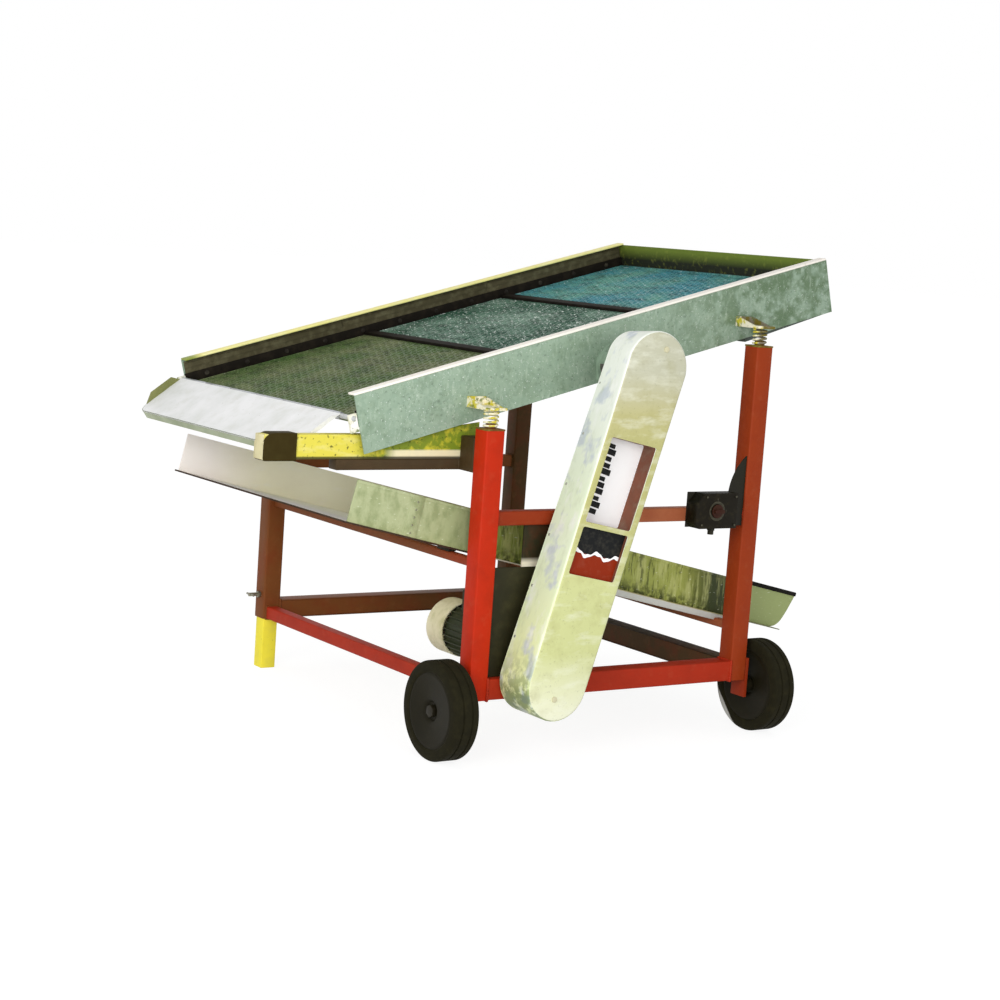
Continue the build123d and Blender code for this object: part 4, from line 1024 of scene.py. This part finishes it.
def slanted(bottom, top, left=WINDOW_LEFT, right=WINDOW_RIGHT, corner=0.0):
    """A four-sided outline whose right side stands higher, as the windows' do, with its corners rounded."""
    points = []
    for i, (x, y) in enumerate([(left, bottom), (right, bottom), (right, top), (left, top)]):
        for k in range(5 if corner else 1):
            t = math.pi + (i + k / 4) * math.pi / 2
            px = x + (corner if x == left else -corner) + corner * math.cos(t)
            py = y + (corner if y == bottom else -corner) + corner * math.sin(t)
            points.append((px, py + (px - (WINDOW_LEFT + WINDOW_RIGHT) / 2) * WINDOW_SLOPE))
    return points


class WASHSCREEN_OT_guard(bpy.types.Operator):
    """Belt guard with its windows, inner panel and fixings"""

    bl_idname = "washscreen.guard"
    bl_label = "Belt guard"

    def execute(self, context):
        side = guard_side_paint("chalked_mint_paint")
        corner = context.scene.washscreen_sizes.guard_corner / MM
        self.cover(guard_front_paint("chalked_olive_paint"), side, corner)
        refine("guard_back", side, 0.8)
        dark = frame_enamel("dark_hanger_enamel", "#2a2816", "#e2dbc4", ("Z", 0.560, 0.545))
        cream = alkyd_enamel("cream_bolt_enamel", "#cfcaa8", chips="#6b5a40")
        front_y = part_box("guard_shell")[0].y
        choose(refine("guard_fixings", [dark, cream]), 1, lambda centre: centre.y < front_y + 0.001)
        self.panel()
        self.jambs()
        self.rivets()
        return {"FINISHED"}

    @staticmethod
    def cover(front, side, corner):
        """The bent and welded cover: a side wall that turns into the front through a rounded edge."""
        bm = bmesh.new()
        skins = []
        for inset, level, bend, straight in (
            (0.0, GUARD_FRONT, corner, (0, 40, 90)),
            (GUARD_SHEET, GUARD_DEPTH, corner - GUARD_SHEET, (0, 90)),
        ):
            wall = [(inset, z) for z in straight]
            wall += [(inset + bend * (1 - math.cos(t)), level - bend + bend * math.sin(t)) for t in QUARTER]
            skins.append(skin(bm, GUARD, [
                [(*flared(x, y, z / GUARD_FRONT), z) for x, y in guard_outline(drawn)] for drawn, z in wall
            ]))
        outer, inner = skins
        bridge(bm, outer[0], inner[0])
        windows = [slanted(*window, corner=WINDOW_CORNER) for window in (UPPER_WINDOW, LOWER_WINDOW)]
        cuts = []
        for level, rim in ((GUARD_FRONT, outer[-1]), (GUARD_DEPTH, inner[-1])):
            edges = [bm.edges.get(pair) for pair in zip(rim, rim[1:] + rim[:1])]
            cuts.append([[bm.verts.new(at(GUARD, x, y, level)) for x, y in window] for window in windows])
            edges += [bm.edges.new(pair) for cut in cuts[-1] for pair in zip(cut, cut[1:] + cut[:1])]
            bmesh.ops.triangle_fill(bm, use_beauty=True, use_dissolve=False, edges=edges)
        for outer_cut, inner_cut in zip(*cuts):
            bridge(bm, outer_cut, inner_cut)
        bm.normal_update()
        # the side is paler than the front partly as painted light on the side, besides the two faces'
        # different tint
        for face in bm.faces:
            face.material_index = 0 if abs(face.normal.y) > 0.75 else 1
        covers = ["guard_shell", "guard_front"]
        make_piece("guard_cover", bm, "frame", [front, side], covers, smooth=50)

    @staticmethod
    def panel():
        """The inner panel: white with a column of dark dashes above, and black, white and red bands below."""
        finishes = [
            gloss_panel_paint("white_panel_enamel", "#ffffff", 0.05),
            gloss_panel_paint("black_panel_enamel", "#101213", 0.08),
            gloss_panel_paint("red_panel_enamel", "#8c2806", 0.06),
        ]
        white, black, red = range(3)
        low, high = LOWER_WINDOW
        split = low + (high - low) * 0.46
        bm = bmesh.new()
        for bottom, top, face, colour in (
            (UPPER_WINDOW[0] - 12, UPPER_WINDOW[1] + 26, UPPER_PANEL, white),
            (split, high + 8, LOWER_PANEL, black),
            (low - 8, split, LOWER_PANEL, red),
        ):
            outline = slanted(bottom, top, WINDOW_LEFT - 4, WINDOW_RIGHT + 5)
            rings = [[(x, y, z) for x, y in outline] for z in (face - 1.5, face)]
            in_finish(bm, colour, skin, GUARD, rings, caps=True)
        rings = []
        for i in range(41):
            x = WINDOW_LEFT + 2 + i * 4.0
            y = split + (x + 6) * WINDOW_SLOPE + 6.5 * math.sin(i * 0.36 + 0.6) + 1.5 * math.sin(i * 1.1)
            half = 4.2 + 1.4 * math.sin(i * 0.7)
            section = [(-half, 0.0), (half, 0.0), (half, 0.6), (-half, 0.6)]
            rings.append([(x, y + across, LOWER_PANEL + out) for across, out in section])
        in_finish(bm, white, skin, GUARD, rings, caps=True)
        for i in range(11):
            y = UPPER_WINDOW[0] + 22 + i * 19.0
            size = 14.5 + 2.5 * math.sin(i * 2.3)
            left = WINDOW_LEFT + 38 + 2.0 * math.sin(i * 1.3)
            corners = (left, y, UPPER_PANEL), (left + 2.1 * size, y + size, UPPER_PANEL + 0.5)
            in_finish(bm, black, add_box, GUARD, *corners, 0.2)
        make_piece("guard_inner_panel", bm, "frame", finishes, ["inner_shield"])

    @staticmethod
    def jambs():
        """Folded edges that run back from the windows to the inner panel, painted brown as the shade inside
        the windows.
        """
        bm = bmesh.new()
        for (bottom, top), depth in ((UPPER_WINDOW, UPPER_PANEL + 0.1), (LOWER_WINDOW, LOWER_PANEL)):
            rings = []
            for out, z in ((0.1, GUARD_DEPTH + 0.5), (0.1, depth), (2.1, depth), (2.1, GUARD_DEPTH - 0.2)):
                sides = (WINDOW_LEFT - out, WINDOW_RIGHT + out)
                outline = slanted(bottom - out, top + out, *sides, WINDOW_CORNER)
                rings.append([(x, y, z) for x, y in outline])
            skin(bm, GUARD, rings, loop=True)
        # painted shade: the jambs brown as the shadow within the windows
        enamel = alkyd_enamel("painted_shade_jamb_enamel", "#7d4a35", "#5d3a2c")
        make_piece("window_jambs", bm, "frame", enamel)

    @staticmethod
    def rivets():
        """Round-headed rivets along the cover's wall."""
        dome = [(4.0, -0.5), (3.9, 0.6), (3.0, 1.5), (1.5, 2.0)]
        side_top, side_bottom = (Vector(point) for point in guard_outline(steps=6)[6:8])
        bm = bmesh.new()
        for i in range(6):
            x, y = side_top.lerp(side_bottom, 0.1 + 0.16 * i)
            for mirror in (1, -1):
                away = GUARD.to_3x3() @ Vector((-mirror, 0, 0))
                add_turned(bm, facing(at(GUARD, x * mirror, y, 9), away), dome, sides=16)
        make_piece("guard_rivets", bm, "frame", zinc_plate("rivet_zinc", "#aeb0a2"))


class WASHSCREEN_OT_chute(bpy.types.Operator):
    """Discharge chute under the deck"""

    bl_idname = "washscreen.chute"
    bl_label = "Chute"

    def execute(self, context):
        green = chute_near_paint("silted_green_paint")
        cream = chute_far_paint("silted_cream_enamel")
        refine("chute_floor", cream, 0.8)
        refine("chute_wall_near", green, 0.8)
        refine("chute_wall_far", cream, 0.8)
        refine("chute_packers", moulded_rubber("packer_rubber", "#2a2620"))
        black = moulded_rubber("edge_strip_rubber", "#100e0a", dust_cover=0.08)
        rims = (-4.0, CHUTE_WIDTH - 7.0)
        strips = [((1429, y, CHUTE_WALL - 7), (1689, y + 11, CHUTE_WALL + 6), 3.0) for y in rims]
        self.boxes("edge_strips", "grip_rubber", black, strips, ["chute_edge_strip"])
        # the floor's turned-down edges
        grey = gloss_panel_paint("pale_grey_paint", "#c9cbc4", 0.3)
        fold = [((780, y, -16), (1470, y + 3, 1.5), 0.8) for y in (-22.0, CHUTE_WIDTH + 19.0)]
        fold.append(((780, -21.0, -17.5), (1470, -8.0, -15.0), 0.6))
        self.boxes("chute_floor_fold", "apron_paint", grey, fold)
        self.boxes("chute_lip_edging", "grip_rubber", moulded_rubber("edging_rubber", "#3d2c22"), [
            ((1, -22.4, -1.5), (440, -19.0, 3.6), 0.6),
            ((-1.0, -22.0, -1.0), (2.0, CHUTE_WIDTH + 20, 4.0), 0.6),
        ])
        # the lapped joints in the near wall, and the strip along its top
        laps = (208, 900)
        sheets = [((x, -1.6, CHUTE_SHEET), (x + 42, 0.2, CHUTE_WALL - 1), 0.5) for x in laps]
        sheets.append(((26, -1.5, CHUTE_WALL - 9), (1480, 0.1, CHUTE_WALL - 1), 0.5))
        self.boxes("chute_wall_laps", "guard_paint", green, sheets)
        dome = [(3.4, -0.5), (3.2, 0.5), (2.3, 1.3), (1.1, 1.7)]
        first, pitch = 14, 22
        bm = bmesh.new()
        for x in laps:
            for k in range(5):
                spot = at(CHUTE, x + 21, -1.6, first + k * pitch)
                add_turned(bm, facing(spot, (0, -1, 0)), dome, sides=12)
        make_piece("chute_rivets", bm, "frame", zinc_plate("chute_rivet_zinc", "#8d9078"))
        return {"FINISHED"}

    @staticmethod
    def boxes(name, slot, paint, boxes, stands_for=()):
        """A piece of flat strips along the chute, each with its corners and the rounding of its edges."""
        bm = bmesh.new()
        for low, high, round_edge in boxes:
            add_box(bm, CHUTE, low, high, round_edge)
        make_piece(name, bm, "frame", paint, stands_for)


class WASHSCREEN_OT_apron(bpy.types.Operator):
    """Discharge apron on its hinge rod"""

    bl_idname = "washscreen.apron"
    bl_label = "Apron"

    def execute(self, context):
        low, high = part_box("apron")
        width = (high.y - low.y) / MM
        length, corner = 170.0, 34.0
        # x runs down the sheet from the rod, y across it, and z down out of its back
        down = -pitched(math.radians(36))[0]
        place = basis((ROD.x, low.y, ROD.z), down, (0, 1, 0))
        face, back, lip_foot = -10.0, -7.0, 16.0
        bm = bmesh.new()
        centre_x, centre_y = length - corner, width - corner
        path = [(length, 0.0)]
        for k in range(9):
            t = k / 8 * math.pi / 2
            path.append((centre_x + corner * math.cos(t), centre_y + corner * math.sin(t)))
        outline = [(0.0, 0.0), *path, (0.0, width)]
        skin(bm, place, [[(x, y, z) for x, y in outline] for z in (back, face)], caps=True)
        lip = [
            [(x, y, face), (x, y, lip_foot), (x - 2.5, y - 1.0, lip_foot), (x - 2.5, y - 1.0, face)]
            for x, y in path
        ]
        in_finish(bm, 2, skin, place, lip, caps=True)
        for y, tall, index in ((0.0, 9.0, 0), (width - 3.0, 22.0, 1)):
            flange = [(8.0, face), (28.0, face - tall), (length - 62, face - tall), (length - 30, face)]
            sides = [[(x, side, z) for x, z in flange] for side in (y, y + 3)]
            in_finish(bm, index, skin, place, sides, caps=True)
        make_piece("apron_sheet_piece", bm, "apron_sheet", [
            alkyd_enamel("off_white_enamel", "#f3f3f3", "#e2e4e1", "#d6d3c6", 0.3, "#7a7458", 0.4),
            alkyd_enamel("olive_edge_enamel", "#8a8c58", "#5f6432", "#c9c6a0", 0.3, "#4a4d2a"),
            alkyd_enamel("grey_green_lip_enamel", "#b4bda0", "#8f9a78", "#e9eadc", 0.4, "#4a4d2a"),
        ], ["apron"], smooth=35)
        knuckles, gap = 6, 3
        run = width / knuckles - 2 * gap
        tube = [(7.4, 0), (9.6, 0), (10.2, 0.8), (10.2, run - 0.8), (9.6, run), (7.4, run)]
        bm = bmesh.new()
        for i in range(knuckles):
            start = at(place, 0, i * width / knuckles + gap, 0)
            add_turned(bm, facing(start, (0, 1, 0)), tube, sides=28, loop=True)
        make_piece("apron_knuckles", bm, "apron_sheet", zinc_plate("knuckle_zinc", "#b9bcc0"))
        return {"FINISHED"}


class WASHSCREEN_OT_handle(bpy.types.Operator):
    """Handle bar, its arm and its grip"""

    bl_idname = "washscreen.handle"
    bl_label = "Handle"

    def execute(self, context):
        low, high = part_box("handle_grip")

        def shorten(bm):
            """Draws the bar's end 5 mm back into its grip, to leave room for the end plug."""
            for v in bm.verts:
                if v.co.x < low.x + 0.001:
                    v.co.x += 0.005

        refine("handle_bar", handle_paint("yellow_handle_enamel"), 3.0, 60, shorten)
        refine("handle_arm", alkyd_enamel("brown_arm_enamel", "#43321a", "#33260f", "#6b5a3a", 0.25), 3.0, 20)
        rubber = moulded_rubber("grip_rubber", "#352b0c", "#4a431f", 0.3)
        cap = moulded_rubber("grip_end_rubber", "#d9d0a6", "#9a915a", 0.4)
        choose(refine("handle_grip", [rubber, cap], 2.0), 1, lambda centre: centre.x < low.x + 0.002)
        wall = Vector((0, 4.3, 4.3))
        plug_low = low / MM + wall + Vector((0.3, 0, 0))
        plug_high = high / MM - wall
        plug_high.x = low.x / MM + 4.6
        bm = bmesh.new()
        add_box(bm, WORLD, plug_low, plug_high, 0.5)
        make_piece("grip_end_plug", bm, "frame", cap)
        return {"FINISHED"}


class WASHSCREEN_OT_motor(bpy.types.Operator):
    """Motor, its mounting plate and terminal box"""

    bl_idname = "washscreen.motor"
    bl_label = "Motor"

    def execute(self, context):
        dark = alkyd_enamel("dark_olive_enamel", "#23210f", "#2e2c16", "#55502f", 0.25)
        green = alkyd_enamel("dark_green_enamel", "#343b24", "#2a2f1c", "#77744f", 0.35)
        cream = alkyd_enamel("cream_cowl_enamel", "#e9e4c4", "#cdc79c", "#8d9a50", 0.5)
        refine("motor_plate", dark, 1.5)
        refine("motor_body", green, 0.6)
        refine("motor_cowl", cream)
        refine("terminal_box", dark, 2.0)
        plate_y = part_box("motor_plate")[0].y
        low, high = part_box("terminal_box")
        bolt_circle, inset = 0.052, 0.012
        bm = bmesh.new()
        for x, z in circle(bolt_circle, 4, 0.5):
            add_bolt(bm, facing((MOTOR.x + x, plate_y, MOTOR.z + z), (0, -1, 0)), 8.0)
        for x in (low.x + inset, high.x - inset):
            for y in (low.y + inset, high.y - inset):
                add_bolt(bm, facing((x, y, high.z), (0, 0, 1)), 4.0, washer=False)
        make_piece("motor_bolts", bm, "frame", zinc_plate("motor_bolt_zinc", "#8f8d80"))
        return {"FINISHED"}


class WASHSCREEN_OT_switch(bpy.types.Operator):
    """Switch box on its bracket"""

    bl_idname = "washscreen.switch"
    bl_label = "Switch box"

    def execute(self, context):
        olive = alkyd_enamel("switch_olive_enamel", "#191709", "#15130a", "#332f1c", 0.2)
        for node, finish, width in (
            ("switch_bracket", olive, 1.0),
            ("switch_box", moulded_plastic("switch_box_polyamide", "#110f05"), 2.0),
            ("switch_cover", moulded_plastic("switch_cover_polyamide", "#130f05"), 1.5),
            ("switch_knob", moulded_plastic("knob_polyamide", "#33180e", 0.5), 1.0),
            ("cable_glands", moulded_plastic("gland_polyamide", "#24231c"), 0.6),
        ):
            refine(node, finish, width)
        low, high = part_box("switch_cover")
        bm = bmesh.new()
        for x, z in (
            (high.x - 0.010, high.z - 0.010), (high.x - 0.010, low.z + 0.010),
            (low.x + 0.036, high.z - 0.010), (low.x + 0.022, low.z + 0.012),
        ):
            add_bolt(bm, facing((x, low.y, z), (0, -1, 0)), 3.6, washer=False)
        make_piece("switch_cover_screws", bm, "frame", zinc_plate("screw_zinc", "#4a473a"))
        # a ring round the knob with a mark at each of its two places
        centre = Vector((KNOB.x, low.y, KNOB.z))
        ring = [(21, 0.0), (29, 0.0), (29, 0.5), (28, 0.9), (22, 0.9), (21, 0.5)]
        bm = bmesh.new()
        add_turned(bm, facing(centre, (0, -1, 0)), ring, loop=True)
        reach = 34
        for away in ((0, 0, reach), (reach, 0, 0)):
            mark = centre / MM + Vector(away)
            add_box(bm, WORLD, mark - Vector((1.2, 0.5, 4)), mark + Vector((1.2, 0.2, 4)), 0.2)
        make_piece("switch_dial_ring", bm, "frame", zinc_plate("dial_zinc", "#3b382c"))
        return {"FINISHED"}


class WASHSCREEN_OT_wheels(bpy.types.Operator):
    """Solid rubber wheels on stub axles"""

    bl_idname = "washscreen.wheels"
    bl_label = "Wheels"

    def execute(self, context):
        tyre = ("#1d1b0e", "#3f3b22", 0.25, 0.85)
        rubbers = {
            "low": moulded_rubber("tyre_rubber", *tyre),
            "high": moulded_rubber("pale_banded_tyre_rubber", *tyre, JOINT_PLACE["wheel_high_spin"]),
        }
        enamel = alkyd_enamel("wheel_enamel", "#1b180b", "#151308", "#3f3b22", 0.2, ior=1.2)
        axles = [
            frame_enamel("axle_plate_enamel", "#8c2c0e"),
            alkyd_enamel("dark_axle_enamel", "#1d190c", dust="#3f3b22"),
        ]
        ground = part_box("post_near_low")[0].z
        choose(refine("stub_axles", axles), 1, lambda spot: spot.z < ground + 0.002)
        for end, rubber in rubbers.items():
            low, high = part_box(f"tyre_{end}")
            place = facing(JOINT_PLACE[f"wheel_{end}_spin"], (1, 0, 0))
            radius = (high.z - low.z) / MM / 2
            half = (high.x - low.x) / MM / 2
            inner = radius - 33.8
            bm = bmesh.new()
            add_turned(bm, place, self.tyre_profile(inner, radius, half), sides=96, loop=True)
            body, tyre_node = f"wheel_{end}_end", f"tyre_{end}"
            make_piece(tyre_node + "_moulded", bm, body, rubber, [tyre_node], smooth=30)
            face = [
                (12.6, 24.5), (25, 24.5), (31, half - 8), (38, half - 5), (inner - 14, half - 4.5),
                (inner - 10, half - 3), (inner - 3, half - 3), (inner - 0.2, half - 4.5),
            ]
            bm = bmesh.new()
            add_turned(bm, place, [(r, -h) for r, h in face] + face[::-1], sides=96, loop=True)
            make_piece(f"wheel_{end}_pressed", bm, body, enamel, [f"wheel_{end}"], smooth=32)
        return {"FINISHED"}

    @staticmethod
    def tyre_profile(inner, radius, half):
        """A tyre's section: a chamfered bead, rounded shoulders and two grooves round the tread."""
        shoulder, bead, edge = 10.0, inner + 6, radius - 14.0
        rounding = [(shoulder * (1 - math.sin(t)), shoulder * (1 - math.cos(t))) for t in QUARTER]
        profile = [(inner, -half + 4), (bead, -half), (edge, -half)]
        profile += [(radius - inward, -half + 2 + along) for inward, along in rounding[1:]]
        for groove in (-14.0, 14.0):
            profile += [
                (radius, groove - 3), (radius - 3, groove - 2), (radius - 3, groove + 2), (radius, groove + 3)
            ]
        profile += [(radius - along, half - 2 - inward) for inward, along in rounding[:5]]
        return profile + [(edge, half), (bead, half), (inner, half - 4)]


class WASHSCREEN_OT_feet(bpy.types.Operator):
    """Telescopic feet and their clamp screws"""

    bl_idname = "washscreen.feet"
    bl_label = "Feet"

    def execute(self, context):
        yellow = alkyd_enamel("yellow_foot_enamel", "#fff04a", "#f6e83c", "#d8d080", 0.3, "#6a6430")
        for node in ("foot_low", "foot_high"):
            refine(node, yellow, 3.0, 20)
        refine("foot_clamps", zinc_plate("clamp_zinc", "#8b8878"), 0.8)
        return {"FINISHED"}


OPERATORS = (
    WASHSCREEN_OT_stage,
    WASHSCREEN_OT_frame,
    WASHSCREEN_OT_springs,
    WASHSCREEN_OT_deck,
    WASHSCREEN_OT_screens,
    WASHSCREEN_OT_deck_fittings,
    WASHSCREEN_OT_drive,
    WASHSCREEN_OT_guard,
    WASHSCREEN_OT_chute,
    WASHSCREEN_OT_apron,
    WASHSCREEN_OT_handle,
    WASHSCREEN_OT_motor,
    WASHSCREEN_OT_switch,
    WASHSCREEN_OT_wheels,
    WASHSCREEN_OT_feet,
)


class WASHSCREEN_PT_panel(bpy.types.Panel):
    """Lists the operators and settings in the 3D view's sidebar"""

    bl_idname = "WASHSCREEN_PT_panel"
    bl_label = "Wash screen"
    bl_space_type = "VIEW_3D"
    bl_region_type = "UI"
    bl_category = "Wash screen"

    def draw(self, context):
        for group in (context.scene.washscreen_colours, context.scene.washscreen_sizes):
            for key in group.bl_rna.properties.keys():
                if key not in ("rna_type", "name"):
                    self.layout.prop(group, key)
        for operator in OPERATORS:
            self.layout.operator(operator.bl_idname)


CLASSES = (WASHSCREEN_PG_colours, WASHSCREEN_PG_sizes, *OPERATORS, WASHSCREEN_PT_panel)


def register():
    for cls in CLASSES:
        bpy.utils.register_class(cls)
    bpy.types.Scene.washscreen_colours = bpy.props.PointerProperty(type=WASHSCREEN_PG_colours)
    bpy.types.Scene.washscreen_sizes = bpy.props.PointerProperty(type=WASHSCREEN_PG_sizes)


def unregister():
    del bpy.types.Scene.washscreen_sizes
    del bpy.types.Scene.washscreen_colours
    for cls in reversed(CLASSES):
        bpy.utils.unregister_class(cls)


def main():
    """Builds everything in order."""
    register()
    for operator in OPERATORS:
        group, name = operator.bl_idname.split(".")
        getattr(getattr(bpy.ops, group), name)()


if __name__ == "__main__":
    main()
